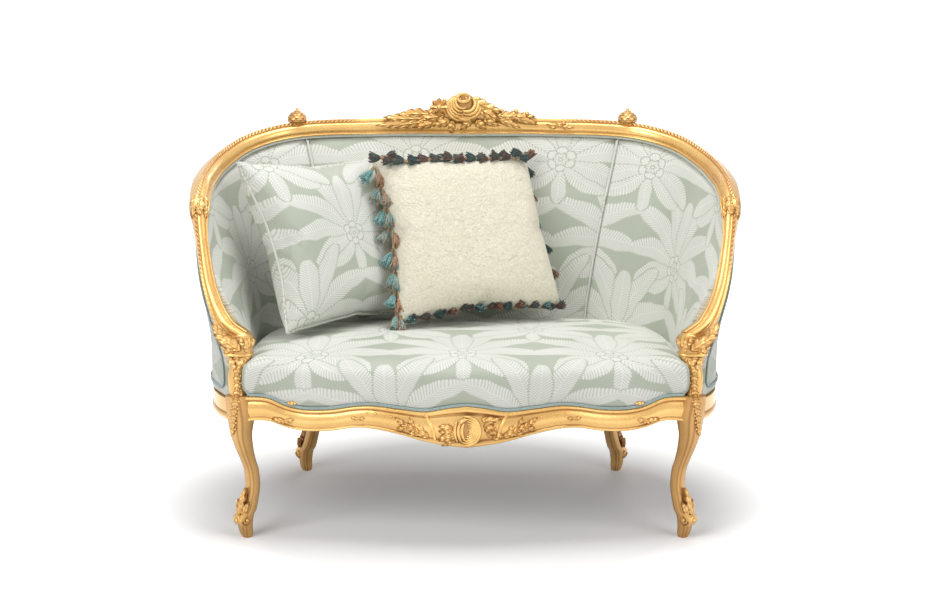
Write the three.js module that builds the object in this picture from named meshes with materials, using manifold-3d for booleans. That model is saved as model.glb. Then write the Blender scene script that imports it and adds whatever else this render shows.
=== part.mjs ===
// A carved giltwood loveseat of the French corbeille type: a basket-shaped back that runs
// round into the arms, a sprung and stuffed seat, four cabriole legs and two loose cushions.
// Lengths are millimetres. X runs to the sitter's left hand, Y to the back and Z up, and until
// the whole is centred at the end of the file, Y is counted from the middle of the front feet.
import * as THREE from 'three';
import { mergeVertices } from 'three/addons/utils/BufferGeometryUtils.js';
import Module from 'manifold-3d';

const wasm = await Module();
wasm.setup();

// Fits
const clearance = 0.3;          // gap between pieces that touch
const squareness = 2.7;         // power of the round-cornered sections
const overrun = 4;              // how far a cut runs past the face it opens
const weld = 1e-4;              // points closer than this are one

// Top rail and arms: one moulded line from scroll to scroll
const armHalfWidth = 629;       // middle of the rail at its widest
const backSetback = 575;        // middle of the rail at the centre back
const backRailHeight = 915;
const railFace = 41;            // height of the moulded face
const railDepth = 36;           // front to back through the rail
const crestRise = 66;           // carved crest above the rail's top edge
const crestHalfSpan = 178;
const crestDepth = 30;
const crestBevel = 4;           // softened edge of the crest, into its depth
const crestSpread = 3;          // and out past its outline
const roseRadius = 27;
const roseDrop = 33;            // middle of the rose below the crest's top
const roseSink = 2;             // the rose's heart stands this far inside the crest's face
const petalStep = 3;            // each ring of petals stands this far in front of the last
const petalShift = 1.5;
const knuckleSwellShare = 1.16;
const knuckleReach = 0.55;      // places of the line that the swelling takes up on each side
const voluteRadius = 21;
const voluteWidth = 38;

// Seat frame
const frontLegHalfSpan = 516;   // middle of the front feet
const frontRailBow = 60;        // how far the front rail swells forward
const frontRailSetback = -8;    // middle of the front rail beside the legs
const seatRailTop = 346;
const railThickness = 34;
const sideRailTop = 330;
const sideRailDrop = 50;        // height of the side and rear rails
const sideHalfWidth = 594;      // middle of the side rails at their widest
const sideEndShare = 1.0145;    // of the rear leg's half span: where the side rail ends
const bracketDrop = 8;          // how far the side rail sweeps down into the front leg
const bracketReachShare = 0.14;
const rearRailBow = 12;

// Legs
const rearLegHalfSpan = 414;    // middle of the rear feet
const rearFootSetback = 555;
const rearLegTopHalfSpan = 404;
const rearLegTopSetback = 515;
const frontLegRake = 5;         // the front leg's top stands this far behind its foot
const legSwing = 13;            // sideways swing of the cabriole line, foot to knee
const kneeHalfWidth = 28.5;
const toeRadius = 17;
const toeWidth = 31;
const toeHeight = 46;
const postHalfSpan = 434;       // middle of the rear posts at the top
const postSetback = 566;
const postMiddleSetback = 536;
const postFootSetback = 512;
const postWidth = 42;
const postDepth = 30;
const postTop = 900;
const postInset = 3;            // the post's tenon stands this far in front of its middle
const finialRadius = 24;
const finialHeight = 40;
const finialHalfSpan = 426;
const finialSetback = 572;
const finialSeat = 921;         // the rail's top under the finial
const finialLobes = 5;
const lobeDepthShare = 0.08;

// Arm fronts
const consoleWaist = 19;        // half width of the arm front above the seat rail
const consoleFlare = 32;        // half width under the scroll
const consoleTop = 478;
const consoleShift = 18;        // how far it leans sideways and back on its way up
const consoleDepth = 21;        // half depth, front to back

// Joinery
const tenonHeight = 30;
const tenonWidth = 12;
const tenonLength = 20;
const dowelRadius = 6;
const dowelLength = 36;
const blockLeg = 62;            // corner block, along each rail
const blockHeight = 34;
const blockBottom = 292;

// Seat
const seatHalfWidth = 504;      // inside the arms
const seatDepth = 462;
const seatMiddleShare = 0.44;   // of the depth: the point that the seat's outline is drawn in to
const seatCrown = 452;          // top of the seat
const seatRoll = 14;            // how far the stuffed front edge swells past the rail
const seatFace = 4;             // stuffed edge in front of the rail's middle
const coverThickness = 2.5;
const webbingWidth = 50;
const webbingThickness = 2.5;
const webbingHeight = 286;
const webbingRun = 1180;        // strap length before it is trimmed to the frame
const webbingCrossCount = 6;
const webbingLongCount = 3;
const hessianThickness = 2;
const dustCoverThickness = 1.5;
const dustCoverDrop = 3;        // below the webbing
const fieldGap = 6;             // level rim of the spring field inside the padding, at the sides
const fieldDepthGap = 69.5;     // and front to back
const fieldSlope = 40;
const springTop = 372;
const springCount = 6;
const springSpanShare = 0.611;  // of the seat's half width: the outer springs' middles
const springDepthShare = 0.639; // of the way to the raised field's front edge: the two rows
const webbingSpanShare = 0.848; // and the outer straps
const springRadius = 34;
const springWaistShare = 0.72;
const springWire = 2.2;         // radius
const springCurls = 3;

// Upholstery of the back and arms
const padBulge = 13;
const panelThicknessShare = 0.07;
const padThicknessShare = 0.62;
const seamGapShare = 0.0003;
const wallShare = 0.016;        // how far the seat stays off the padding's faces, of the tub's thickness
const weltRadius = 4;
const seamRadius = 4.5;

// Cushions
const cushionSize = 430;
const cushionThickness = 135;
const cushionCordRadius = 4.5;
const fringeCordRadius = 6;
const tasselLength = 52;
const tasselRadius = 10;
const tasselsPerSide = 7;
const sideDrawShare = 0.028;
const rimShare = 0.02;

// Facet counts
const legSides = 10;
const drumSides = 8;
const cordSides = 6;
const tasselSides = 4;
const springSides = 5;
const springStepsPerCurl = 6;
const railSteps = 12;
const crestSteps = 6;
const frontSteps = 9;
const frontRailSteps = 20;
const rearSteps = 6;
const padColumns = 8;
const armColumns = 11;
const padRows = 5;
const seatFrontSteps = 12;
const seatSideSteps = 6;
const pillowGrid = 8;
const rimSteps = 6;
const outlineSteps = 8;
const tidyShare = 0.2;          // of the clearance: how far a face may be off after tidying
const hiddenTidyShare = 0.4;    // and inside the seat

// Materials
const finish = (colour, roughness, metalness = 0) =>
  new THREE.MeshStandardMaterial({ color: new THREE.Color(...colour), roughness, metalness });
const giltwood = finish([0.72, 0.5, 0.2], 0.38, 0.55);
const beech = finish([0.62, 0.47, 0.31], 0.7);
const damask = finish([0.62, 0.66, 0.6], 0.6);
const trim = finish([0.45, 0.58, 0.58], 0.7);
const creamCloth = finish([0.85, 0.81, 0.68], 0.85);
const fringe = finish([0.16, 0.2, 0.18], 0.7);
const jute = finish([0.5, 0.4, 0.26], 0.9);
const steel = finish([0.55, 0.55, 0.55], 0.35, 0.9);
const cambric = finish([0.12, 0.12, 0.12], 0.9);

// Geometry helpers
const point = (x, y, z) => new THREE.Vector3(x, y, z);
const lerp = THREE.MathUtils.lerp;
const smooth = THREE.MathUtils.smoothstep;
const mean = (a, b) => (a + b) / 2;
const range = (count) => [...Array(count).keys()];
const along = (count, from = 0, to = 1) => range(count + 1).map((i) => lerp(from, to, i / count));

// A closed loop's normal, by Newell's sum.
function loopNormal(loop) {
  const normal = new THREE.Vector3();
  loop.forEach((p, i) => {
    const q = loop[(i + 1) % loop.length];
    normal.x += (p.y - q.y) * (p.z + q.z);
    normal.y += (p.z - q.z) * (p.x + q.x);
    normal.z += (p.x - q.x) * (p.y + q.y);
  });
  return normal.normalize();
}

// Triangles over a closed loop, wound as the loop is.
function capOf(loop) {
  const normal = loopNormal(loop);
  const helper = Math.abs(normal.x) > Math.SQRT1_2 ? point(0, 1, 0) : point(1, 0, 0);
  const across = helper.clone().cross(normal).normalize();
  const up = normal.clone().cross(across);
  const flat = loop.map((p) => new THREE.Vector2(p.dot(across), p.dot(up)));
  const area = (a, b, c) => (b.x - a.x) * (c.y - a.y) - (b.y - a.y) * (c.x - a.x);
  return THREE.ShapeUtils.triangulateShape(flat, []).map(([a, b, c]) =>
    area(flat[a], flat[b], flat[c]) > 0 ? [a, b, c] : [a, c, b]);
}

// A solid through rings of points, closed by a cap at each end.
function loft(rings) {
  const sides = rings[0].length;
  const last = (rings.length - 1) * sides;
  const index = [];
  for (let row = 0; row < rings.length - 1; row++) {
    for (let j = 0; j < sides; j++) {
      const a = row * sides + j;
      const b = row * sides + (j + 1) % sides;
      index.push(a, b, b + sides, a, b + sides, a + sides);
    }
  }
  capOf(rings[0]).forEach(([a, b, c]) => index.push(c, b, a));
  capOf(rings[rings.length - 1]).forEach(([a, b, c]) => index.push(last + a, last + b, last + c));
  return solidOf(rings.flat(), index);
}

// A ring-shaped solid: the last ring joins the first.
function loftLoop(rings) {
  const count = rings[0].length;
  const total = rings.length * count;
  const index = range(rings.length).flatMap((row) => range(count).flatMap((j) => {
    const a = row * count + j;
    const b = row * count + (j + 1) % count;
    return [a, b, (b + count) % total, a, (b + count) % total, (a + count) % total];
  }));
  return solidOf(rings.flat(), index);
}

function solidOf(points, index) {
  const geometry = new THREE.BufferGeometry().setFromPoints(points);
  geometry.setIndex(index);
  return solidFrom(geometry);
}

// A solid from a closed geometry, turned right side out if need be.
function solidFrom(geometry) {
  const bare = geometry.clone();
  bare.deleteAttribute('normal');
  bare.deleteAttribute('uv');
  const merged = mergeVertices(bare, weld);
  const made = (index) => new wasm.Manifold(new wasm.Mesh({
    numProp: 3,
    vertProperties: merged.attributes.position.array,
    triVerts: new Uint32Array(index),
  }));
  const solid = made(merged.index.array);
  return solid.volume() > 0 ? solid : made([...merged.index.array].toReversed());
}

function geometryOf(solid) {
  const mesh = solid.getMesh();
  const geometry = new THREE.BufferGeometry();
  geometry.setAttribute('position', new THREE.BufferAttribute(new Float32Array(mesh.vertProperties), 3));
  geometry.setIndex(new THREE.BufferAttribute(new Uint32Array(mesh.triVerts), 1));
  geometry.computeVertexNormals();
  return geometry;
}

const placed = (geometry, place) => solidFrom(geometry.clone().applyMatrix4(place));
const cutBy = (solid, ...tools) => tools.reduce((rest, tool) => rest.subtract(tool), solid);
const joined = (...solids) => solids.reduce((sum, solid) => sum.add(solid));

// A frame at a place: its Z runs along a direction, and its Y is as near up as that allows.
function frameAt(place, direction) {
  const z = direction.clone().normalize();
  const helper = Math.abs(z.z) > Math.SQRT1_2 ? point(1, 0, 0) : point(0, 0, 1);
  const x = helper.clone().cross(z).normalize();
  const y = z.clone().cross(x);
  return new THREE.Matrix4().makeBasis(x, y, z).setPosition(place);
}

const tenon = (place, direction, grow = 0) =>
  placed(new THREE.BoxGeometry(tenonWidth + 2 * grow, tenonHeight + 2 * grow, tenonLength * 2 + 2 * grow),
    frameAt(place, direction));

const dowel = (place, direction, grow = 0) =>
  placed(new THREE.CylinderGeometry(dowelRadius + grow, dowelRadius + grow, dowelLength + 2 * grow, legSides)
    .rotateX(Math.PI / 2), frameAt(place, direction));

// A round-cornered ring: a superellipse with the given half sizes, turned about Z.
function roundedRing(centre, halfX, halfY, turn, sides = legSides) {
  return range(sides).map((i) => {
    const angle = (2 * Math.PI * i) / sides;
    const c = Math.cos(angle);
    const s = Math.sin(angle);
    const x = halfX * Math.sign(c) * Math.abs(c) ** (2 / squareness);
    const y = halfY * Math.sign(s) * Math.abs(s) ** (2 / squareness);
    const turned = point(x, y, 0).applyAxisAngle(point(0, 0, 1), turn);
    return turned.add(centre);
  });
}

// The long moulded line, scroll end to scroll end, as shares of the half width, setback and height.
const rightLineShares = [
  [0.318, 1.0, 1.0],            // joint of the crest rail
  [0.695, 0.985, 0.988],        // rear post
  [0.863, 0.868, 0.962],
  [0.954, 0.698, 0.926],
  [0.993, 0.505, 0.896],
  [1.0, 0.365, 0.873],
  [0.997, 0.255, 0.832],        // knuckle, where the arm front begins
  [0.983, 0.19, 0.755],
  [0.947, 0.118, 0.632],
  [0.888, 0.065, 0.554],
  [0.815, 0.035, 0.522],        // middle of the scroll
];
const facings = [
  [0, -1, 0.1], [0, -1, 0.1], [-0.3, -0.9, 0.2], [-0.55, -0.75, 0.35], [-0.7, -0.55, 0.5],
  [-0.75, -0.45, 0.5], [-0.7, -0.6, 0.4], [-0.45, -0.85, 0.15], [-0.3, -0.95, 0.05],
  [-0.2, -0.98, 0], [-0.1, -0.99, 0], [0, -1, 0],
];
const mouldingSizeShares = [1, 1, 1, 1.03, 1.05, 1.05, 1, 0.9, 0.66, 0.78, 0.95, 0.8];

const linePlace = (shares, side) => point(
  side * shares[0] * armHalfWidth, shares[1] * backSetback, shares[2] * backRailHeight);
const centrePlace = point(0, backSetback, backRailHeight);
const line = new THREE.CatmullRomCurve3([
  ...rightLineShares.toReversed().map((s) => linePlace(s, -1)),
  centrePlace,
  ...rightLineShares.map((s) => linePlace(s, 1)),
]);
const lineSpans = 2 * rightLineShares.length;
const atPlace = (k) => 0.5 + k / lineSpans;     // k counts places from the centre, right of it if positive
const crestJoint = 1;
const postPlace = 2;
const knuckle = 7;
const scrollEnd = rightLineShares.length;

const tableAt = (table, k) => {
  const low = Math.min(Math.floor(k), table.length - 2);
  return [table[low], table[low + 1], k - low];
};

function lineFrame(k) {
  const [here, next, share] = tableAt(facings, Math.abs(k));
  const facing = point(...here).lerp(point(...next), share);
  if (k < 0) facing.x *= -1;
  const origin = line.getPoint(atPlace(k));
  const tangent = line.getTangent(atPlace(k)).normalize();
  const face = facing.addScaledVector(tangent, -facing.dot(tangent)).normalize();
  const up = face.clone().cross(tangent);
  const [small, large, between] = tableAt(mouldingSizeShares, Math.abs(k));
  return { origin, tangent, face, up, size: lerp(small, large, between) };
}

// A point of the rail's section: depth towards the sitter and height up its face, as shares.
const sectionPoint = (frame, depthShare, heightShare, grow = 0) => frame.origin.clone()
  .addScaledVector(frame.face, frame.size * depthShare * railDepth + grow * Math.sign(depthShare))
  .addScaledVector(frame.up, frame.size * heightShare * railFace + grow * Math.sign(heightShare));

// Bead, broad face and carved band, from the back of the underside round to the back of the top.
const mouldingShares = [
  [-0.5, -0.46], [0.34, -0.5], [0.45, -0.42], [0.36, -0.31], [0.51, -0.14],
  [0.5, 0.08], [0.42, 0.2], [0.38, 0.38], [0.1, 0.5], [-0.46, 0.5],
];
const swellAt = (k, at, reach) => 1 - smooth(Math.abs(Math.abs(k) - at), 0, reach);

function rail(from, to, steps, grow = 0) {
  return loft(along(steps, from, to).map((k) => {
    const frame = lineFrame(k);
    frame.size *= lerp(1, knuckleSwellShare, swellAt(k, knuckle, knuckleReach));
    return mouldingShares.map(([depth, height]) => sectionPoint(frame, depth, height, grow));
  }));
}

// A rail in plan: rings across a curve, with the face's profile given as shares of thickness and height.
function planRail(places, profileShares, thickness, grow = 0) {
  return loft(places.map(({ at, out, bottom, top }) => profileShares.map(([depth, rise]) => {
    const z = lerp(bottom - grow, top + grow, rise);
    return point(at.x, at.y, 0).addScaledVector(out, depth * thickness + grow * Math.sign(depth)).setZ(z);
  })));
}
const frontProfileShares = [
  [-0.5, 0], [0.36, 0], [0.47, 0.09], [0.34, 0.2], [0.42, 0.45], [0.36, 0.7],
  [0.28, 0.79], [0.45, 0.9], [0.4, 1], [-0.5, 1],
];
const plainProfileShares = [
  [-0.5, 0], [0.42, 0], [0.5, 0.16], [0.4, 0.32], [0.4, 1], [-0.5, 1],
];

// Front rail: serpentine in plan and along both edges.
const frontEdgeShares = [       // half span, top edge, bottom edge
  [0, 0.977, 0.694], [0.081, 0.962, 0.708], [0.18, 0.937, 0.734], [0.3, 0.952, 0.781],
  [0.42, 0.968, 0.812], [0.5, 0.957, 0.812], [0.6, 0.93, 0.785], [0.72, 0.922, 0.776],
  [0.8, 0.943, 0.795], [0.89, 0.994, 0.836], [1, 1, 0.827],
];
const edgeCurve = (column) => new THREE.CatmullRomCurve3(
  frontEdgeShares.map((row) => point(row[0], row[column], 0)));
const topEdge = edgeCurve(1);
const bottomEdge = edgeCurve(2);

function curveHeight(curve, x) {
  let low = 0;
  let high = 1;
  for (let i = 0; i < 30; i++) {
    const middle = mean(low, high);
    if (curve.getPoint(middle).x < x) low = middle;
    else high = middle;
  }
  return curve.getPoint(low).y;
}
const frontRailY = (x) => frontRailSetback
  - frontRailBow * Math.max(0, Math.cos((Math.PI * x) / (2 * frontLegHalfSpan))) ** 1.5;
const frontTop = (x) => seatRailTop * curveHeight(topEdge, Math.min(1, Math.abs(x) / frontLegHalfSpan));
const frontBottom = (x) => seatRailTop * curveHeight(bottomEdge, Math.min(1, Math.abs(x) / frontLegHalfSpan));

function frontRailPlaces(steps, reach) {
  return along(steps, -reach, reach).map((x) => {
    const slope = (frontRailY(x + overrun) - frontRailY(x - overrun)) / (2 * overrun);
    const out = point(slope, -1, 0).normalize();
    return { at: point(x, frontRailY(x), 0), out, bottom: frontBottom(x), top: frontTop(x) };
  });
}

// Side and rear rails, as shares of the widest half width and of the rear leg's setback.
const sideRailShares = [
  [0.885, 0.005], [0.952, 0.117], [0.993, 0.27], [1.0, 0.46], [0.957, 0.68], [0.855, 0.86],
];
const sideRailCurve = new THREE.CatmullRomCurve3([
  ...sideRailShares.map(([x, y]) => point(x * sideHalfWidth, y * rearLegTopSetback, 0)),
  point(sideEndShare * rearLegTopHalfSpan, rearLegTopSetback, 0),
]);

function sideRailPlaces(steps, side = 1) {
  return along(steps).map((t) => {
    const at = sideRailCurve.getPoint(t);
    const tangent = sideRailCurve.getTangent(t);
    const out = point(tangent.y, -tangent.x, 0).normalize();
    const drop = bracketDrop * (1 - smooth(t, 0, bracketReachShare)) ** 2;
    at.x *= side;
    out.x *= side;
    return { at, out, bottom: sideRailTop - sideRailDrop - drop, top: sideRailTop };
  });
}

function rearRailPlaces(steps) {
  return along(steps, -rearLegTopHalfSpan, rearLegTopHalfSpan).map((x) => {
    const share = x / rearLegTopHalfSpan;
    const at = point(x, rearLegTopSetback + rearRailBow * (1 - share ** 2), 0);
    const out = point((2 * rearRailBow * share) / rearLegTopHalfSpan, 1, 0).normalize();
    return { at, out, bottom: sideRailTop - sideRailDrop, top: sideRailTop };
  });
}

// Legs: height share of the rail's top, swing share, half width share of the knee.
const cabrioleShares = [
  [0, -0.15, 0.37], [0.035, 0, 0.5], [0.09, 0.15, 0.56], [0.14, 0.1, 0.6], [0.19, -0.4, 0.6],
  [0.25, -0.8, 0.58], [0.36, -1.2, 0.55], [0.45, -1.05, 0.56], [0.54, -0.5, 0.58],
  [0.64, 0.15, 0.7], [0.74, 0.54, 0.84], [0.83, 0.55, 1.0], [0.92, 0.8, 0.98], [1.0, 1.1, 0.86],
];

function cabriole(foot, top, outward, grow = 0) {
  const across = new THREE.Vector2(foot.x, foot.y);
  const away = new THREE.Vector2(Math.sign(foot.x), outward).normalize();
  const turn = Math.atan2(away.y, away.x);
  return loft(cabrioleShares.map(([rise, swing, width]) => {
    const half = width * kneeHalfWidth + grow;
    const z = rise * seatRailTop - (rise === 0 ? grow : 0) + (rise === 1 ? grow : 0);
    const lean = smooth(rise, 0, 1);
    const x = across.x + swing * legSwing * Math.SQRT2 * away.x + lean * (top.x - foot.x);
    const y = across.y + swing * legSwing * Math.SQRT2 * away.y + lean * (top.y - foot.y);
    return roundedRing(point(x, y, z), half, half, turn);
  }));
}

// The curled toe: a small drum with a raised eye on each end, across the leg's outward line.
const toeProfileShares = [[0, 0.5], [0.34, 0.5], [0.46, 0.4], [0.8, 0.48], [1, 0.34]];
function toe(foot, outward) {
  const away = point(Math.sign(foot.x), outward, 0).normalize();
  const half = toeProfileShares.map(([r, w]) => new THREE.Vector2(r * toeRadius, w * toeWidth));
  const outline = [...half, ...half.toReversed().map((p) => new THREE.Vector2(p.x, -p.y))];
  const drum = new THREE.LatheGeometry(outline, drumSides);
  const middle = point(foot.x, foot.y, toeHeight).addScaledVector(away, toeRadius * 0.62);
  const axle = point(-away.y, away.x, 0);
  return placed(drum.rotateX(Math.PI / 2), frameAt(middle, axle));
}

// The rear post: the leg carried on up behind the padding to the finial.
const postTaperShares = [1, 1, 0.8, 0.54];   // of the depth, foot to top
function post(side, grow = 0) {
  const rows = [
    [rearLegTopHalfSpan, postFootSetback, sideRailTop - sideRailDrop],
    [rearLegTopHalfSpan, postFootSetback, sideRailTop + postWidth],
    [mean(rearLegTopHalfSpan, postHalfSpan), postMiddleSetback, mean(sideRailTop, postTop)],
    [postHalfSpan, postSetback, postTop + grow],
  ];
  return loft(rows.map(([x, y, z], i) => roundedRing(point(side * x, y, z),
    postWidth / 2 + grow, postTaperShares[i] * postDepth / 2 + grow, 0)));
}

const finialProfileShares = [
  [0, 0], [0.6, 0], [0.72, 0.07], [0.6, 0.16], [0.88, 0.3], [1, 0.5], [0.86, 0.72], [0.5, 0.88],
  [0.2, 0.93], [0.17, 1], [0, 1],
];
function finial(side) {
  const bud = new THREE.LatheGeometry(finialProfileShares.map(([r, h]) =>
    new THREE.Vector2(r * finialRadius, h * finialHeight)), 2 * finialLobes);
  const spots = bud.attributes.position;
  for (let i = 0; i < spots.count; i++) {
    const angle = Math.atan2(spots.getX(i), spots.getZ(i));
    const lobe = 1 + lobeDepthShare * Math.cos(finialLobes * angle);
    spots.setX(i, spots.getX(i) * lobe);
    spots.setZ(i, spots.getZ(i) * lobe);
  }
  return placed(bud.rotateX(Math.PI / 2),
    new THREE.Matrix4().setPosition(side * finialHalfSpan, finialSetback, finialSeat));
}

// Front of the arm: the moulded line ends in a scroll, on a waisted console over the leg.
const consoleShares = [         // rise from the rail to the scroll, half width share, sideways share
  [0, 0.92, 0], [0.3, 0.86, 0.28], [0.5, 1.05, -0.15], [0.68, 1.5, -0.33], [0.86, 1.7, 0], [1, 1.65, 0.4],
];
function armConsole(grow = 0) {
  return loft(consoleShares.map(([rise, width, shift]) => {
    const half = Math.min(width * consoleWaist, consoleFlare) + grow;
    const z = lerp(seatRailTop + clearance - grow, consoleTop, rise);
    const x = legTopX + shift * consoleShift;
    return roundedRing(point(x, legTopY + rise * consoleShift, z), half, consoleDepth + grow, 0);
  }));
}
const legTopX = frontLegHalfSpan + 1.1 * legSwing;
const legTopY = frontLegRake;

const voluteProfileShares = [[0, 0.5], [0.26, 0.5], [0.38, 0.42], [0.78, 0.5], [1, 0.36]];
function volute(grow = 0) {
  const frame = lineFrame(scrollEnd);
  const half = voluteProfileShares.map(([r, w]) =>
    new THREE.Vector2(r * (voluteRadius + grow), w * (voluteWidth + 2 * grow)));
  const outline = [...half, ...half.toReversed().map((p) => new THREE.Vector2(p.x, -p.y))];
  const drum = new THREE.LatheGeometry(outline, legSides).rotateX(Math.PI / 2);
  return placed(drum, frameAt(frame.origin.clone().add(point(0, 0, -voluteRadius * 0.4)), frame.face));
}

const armFront = (grow = 0) =>
  joined(rail(knuckle, scrollEnd, frontSteps, grow), armConsole(grow), volute(grow));

// Crest: the rail's middle with its carved mass, a rose between leaf sprays.
const crestOutlineShares = [    // along the half span, height above the rail's face as a share of the rise
  [-1, 0], [-0.9, 0.08], [-0.74, 0.18], [-0.57, 0.18], [-0.44, 0.38], [-0.37, 0.6], [-0.24, 0.6],
  [-0.1, 0.85], [0.02, 1], [0.14, 0.96], [0.17, 0.73], [0.33, 0.7], [0.41, 0.46], [0.51, 0.25],
  [0.64, 0.23], [0.75, 0.35], [0.83, 0.23], [0.97, 0.12], [1, 0],
];
function crest() {
  const base = backRailHeight - railFace * 0.2;
  const lift = railFace * 0.7;
  const shape = new THREE.Shape([
    ...crestOutlineShares.map(([x, h]) => new THREE.Vector2(x * crestHalfSpan, h * crestRise + lift)),
    new THREE.Vector2(crestHalfSpan, 0), new THREE.Vector2(-crestHalfSpan, 0),
  ]);
  const plate = new THREE.ExtrudeGeometry(shape, {
    depth: crestDepth - 2 * crestBevel,
    bevelThickness: crestBevel,
    bevelSize: crestSpread,
    bevelSegments: 1,
    steps: 1,
    curveSegments: 1,
  }).rotateX(Math.PI / 2);
  const leaf = placed(plate, new THREE.Matrix4().setPosition(0, backSetback + crestDepth / 2, base));
  const petals = range(2).map((i) => placed(
    new THREE.TorusGeometry(roseRadius * (1 - 0.4 * i), roseRadius * 0.22, 5, 10).rotateX(Math.PI / 2),
    new THREE.Matrix4().setPosition(i * petalShift, backSetback - crestDepth / 2 - (i + 1) * petalStep,
      backRailHeight + railFace / 2 + crestRise - roseDrop)));
  const eye = placed(new THREE.SphereGeometry(roseRadius * 0.9, 8, 5),
    new THREE.Matrix4().makeScale(1, 0.55, 1).setPosition(0, backSetback - crestDepth / 2 + roseSink,
      backRailHeight + railFace / 2 + crestRise - roseDrop));
  return joined(rail(-crestJoint, crestJoint, crestSteps), leaf, eye, ...petals);
}

// Inside and outside of the tub, as surfaces over u (0 centre back, 1 arm front) and v (0 seat, 1 rail).
const padFoot = sideRailTop + hessianThickness + 2 * clearance;
const innerLineShares = [       // the seat line in plan, as shares of the half width and depth
  [0, 1], [0.34, 1], [0.645, 0.992], [0.81, 0.925], [0.935, 0.745], [0.99, 0.52], [1, 0.22], [0.995, 0.04],
];
const outerLineShares = [       // the foot of the outside cover, as shares of the rails' widths
  [0, 1.05], [0.36, 1.05], [0.725, 1.035], [0.9, 0.89], [0.99, 0.69], [1.03, 0.47], [1.015, 0.27],
  [0.935, 0.06],
];
const planCurve = (shares, width, depth) => new THREE.CatmullRomCurve3([
  point(-shares[1][0] * width, shares[1][1] * depth, 0),
  ...shares.map(([x, y]) => point(x * width, y * depth, 0)),
]);
const innerLine = planCurve(innerLineShares, seatHalfWidth, seatDepth);
const outerLine = planCurve(outerLineShares, sideHalfWidth, rearLegTopSetback);
const seamU = 2 / 7;
const onPlan = (curve, u) => curve.getPoint((1 + 7 * u) / 8);

// Where the padding and the outside cover meet the arm front, from the seat up to the knuckle.
const innerEdgeShares = [
  [0.99, 0.075, 0], [0.985, 0.09, 0.3], [1.05, 0.11, 0.42], [1.13, 0.14, 0.56], [1.2, 0.22, 0.83],
  [1.235, 0.32, 1],
];
const outerEdgeShares = [
  [0.935, 0.05, 0], [0.945, 0.065, 0.25], [0.99, 0.095, 0.42], [1.03, 0.13, 0.56], [1.055, 0.21, 0.83],
  [1.068, 0.3, 1],
];
const edgeLine = (shares, width, depth) => new THREE.CatmullRomCurve3(shares.map(([x, y, rise]) =>
  point(x * width, y * depth, rise)));
const innerEdge = edgeLine(innerEdgeShares, seatHalfWidth, seatDepth);
const outerEdge = edgeLine(outerEdgeShares, sideHalfWidth, rearLegTopSetback);

const railK = (u) => (u < seamU ? postPlace * (u / seamU) : lerp(postPlace, knuckle, (u - seamU) / (1 - seamU)));
const edgeBlend = (u) => smooth(u, 0.55, 1) ** 2;

function tubPoint(u, v, line2d, edge, depthShare, heightShare) {
  const foot = onPlan(line2d, u).setZ(padFoot);
  const head = sectionPoint(lineFrame(railK(u)), depthShare, heightShare);
  const here = foot.clone().lerp(head, v);
  const frontFoot = onPlan(line2d, 1).setZ(padFoot);
  const frontHead = sectionPoint(lineFrame(railK(1)), depthShare, heightShare);
  const straight = frontFoot.lerp(frontHead, v);
  const wanted = edge.getPoint(Math.max(0, v));
  wanted.z = straight.z;
  return here.addScaledVector(wanted.sub(straight), edgeBlend(u));
}
const underRail = -0.54;        // height share just below the rail, where padding and covers end
const innerPoint = (u, v) => {
  const spot = tubPoint(u, v, innerLine, innerEdge, 0.28, underRail);
  const outer = outerPoint(u, v);
  const away = outer.sub(spot).setZ(0).normalize();
  return spot.addScaledVector(away, -padBulge * 4 * v * (1 - v) * (1 - edgeBlend(u)));
};
const outerPoint = (u, v) => tubPoint(u, v, outerLine, outerEdge, -0.4, underRail);
const throughTub = (u, v, share) => innerPoint(u, v).lerp(outerPoint(u, v), share);

// A slab of the tub between two depths, over a stretch of u; side -1 mirrors it.
function tubPlace(u, v, share) {
  const spot = throughTub(Math.abs(u), v, share);
  if (u < 0) spot.x *= -1;
  return spot;
}
function tubSlab(fromU, toU, nearShare, farShare, columns, heights, reach = 0) {
  return loft(along(columns, fromU, toU).map((u) => [
    ...heights.map((v) => tubPlace(u, v, nearShare)),
    ...heights.toReversed().map((v) => tubPlace(u, v, farShare)),
  ].map((spot) => (u === toU ? spot.sub(point(0, reach, 0)) : spot))));
}

// A cord along points, with rings square to its run; closed makes a loop of it.
function cord(points, radius, reference, closed = false, sides = cordSides) {
  const count = points.length;
  const rings = points.map((p, i) => {
    const before = points[closed ? (i + count - 1) % count : Math.max(0, i - 1)];
    const after = points[closed ? (i + 1) % count : Math.min(count - 1, i + 1)];
    const way = after.clone().sub(before).normalize();
    const across = way.clone().cross(reference).normalize();
    const over = across.clone().cross(way);
    return range(sides).map((j) => {
      const angle = (2 * Math.PI * j) / sides;
      return p.clone().addScaledVector(across, Math.cos(angle) * radius)
        .addScaledVector(over, Math.sin(angle) * radius);
    });
  });
  return closed ? loftLoop(rings) : loft(rings);
}

// Collected pieces
const largest = (solid) => solid.decompose().sort((a, b) => b.volume() - a.volume())[0];
const sofa = new THREE.Group();
const bodies = new Map();
const tidied = (solid, share = tidyShare) => largest(solid.simplify(share * clearance));
function put(name, solid, material) {
  const mesh = new THREE.Mesh(geometryOf(solid), material);
  mesh.name = name;
  sofa.add(mesh);
  bodies.set(name, solid);
}
const add = (name, solid, material, share) => put(name, tidied(solid, share), material);
const mirrored = (solid) => solidFrom(geometryOf(solid).scale(-1, 1, 1));

// A right-hand piece and its mirror image.
function addPair(name, solid, material) {
  const tidy = tidied(solid);
  put(`${name}_right`, tidy, material);
  put(`${name}_left`, mirrored(tidy), material);
}
const both = (solid) => [solid, mirrored(solid)];

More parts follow.
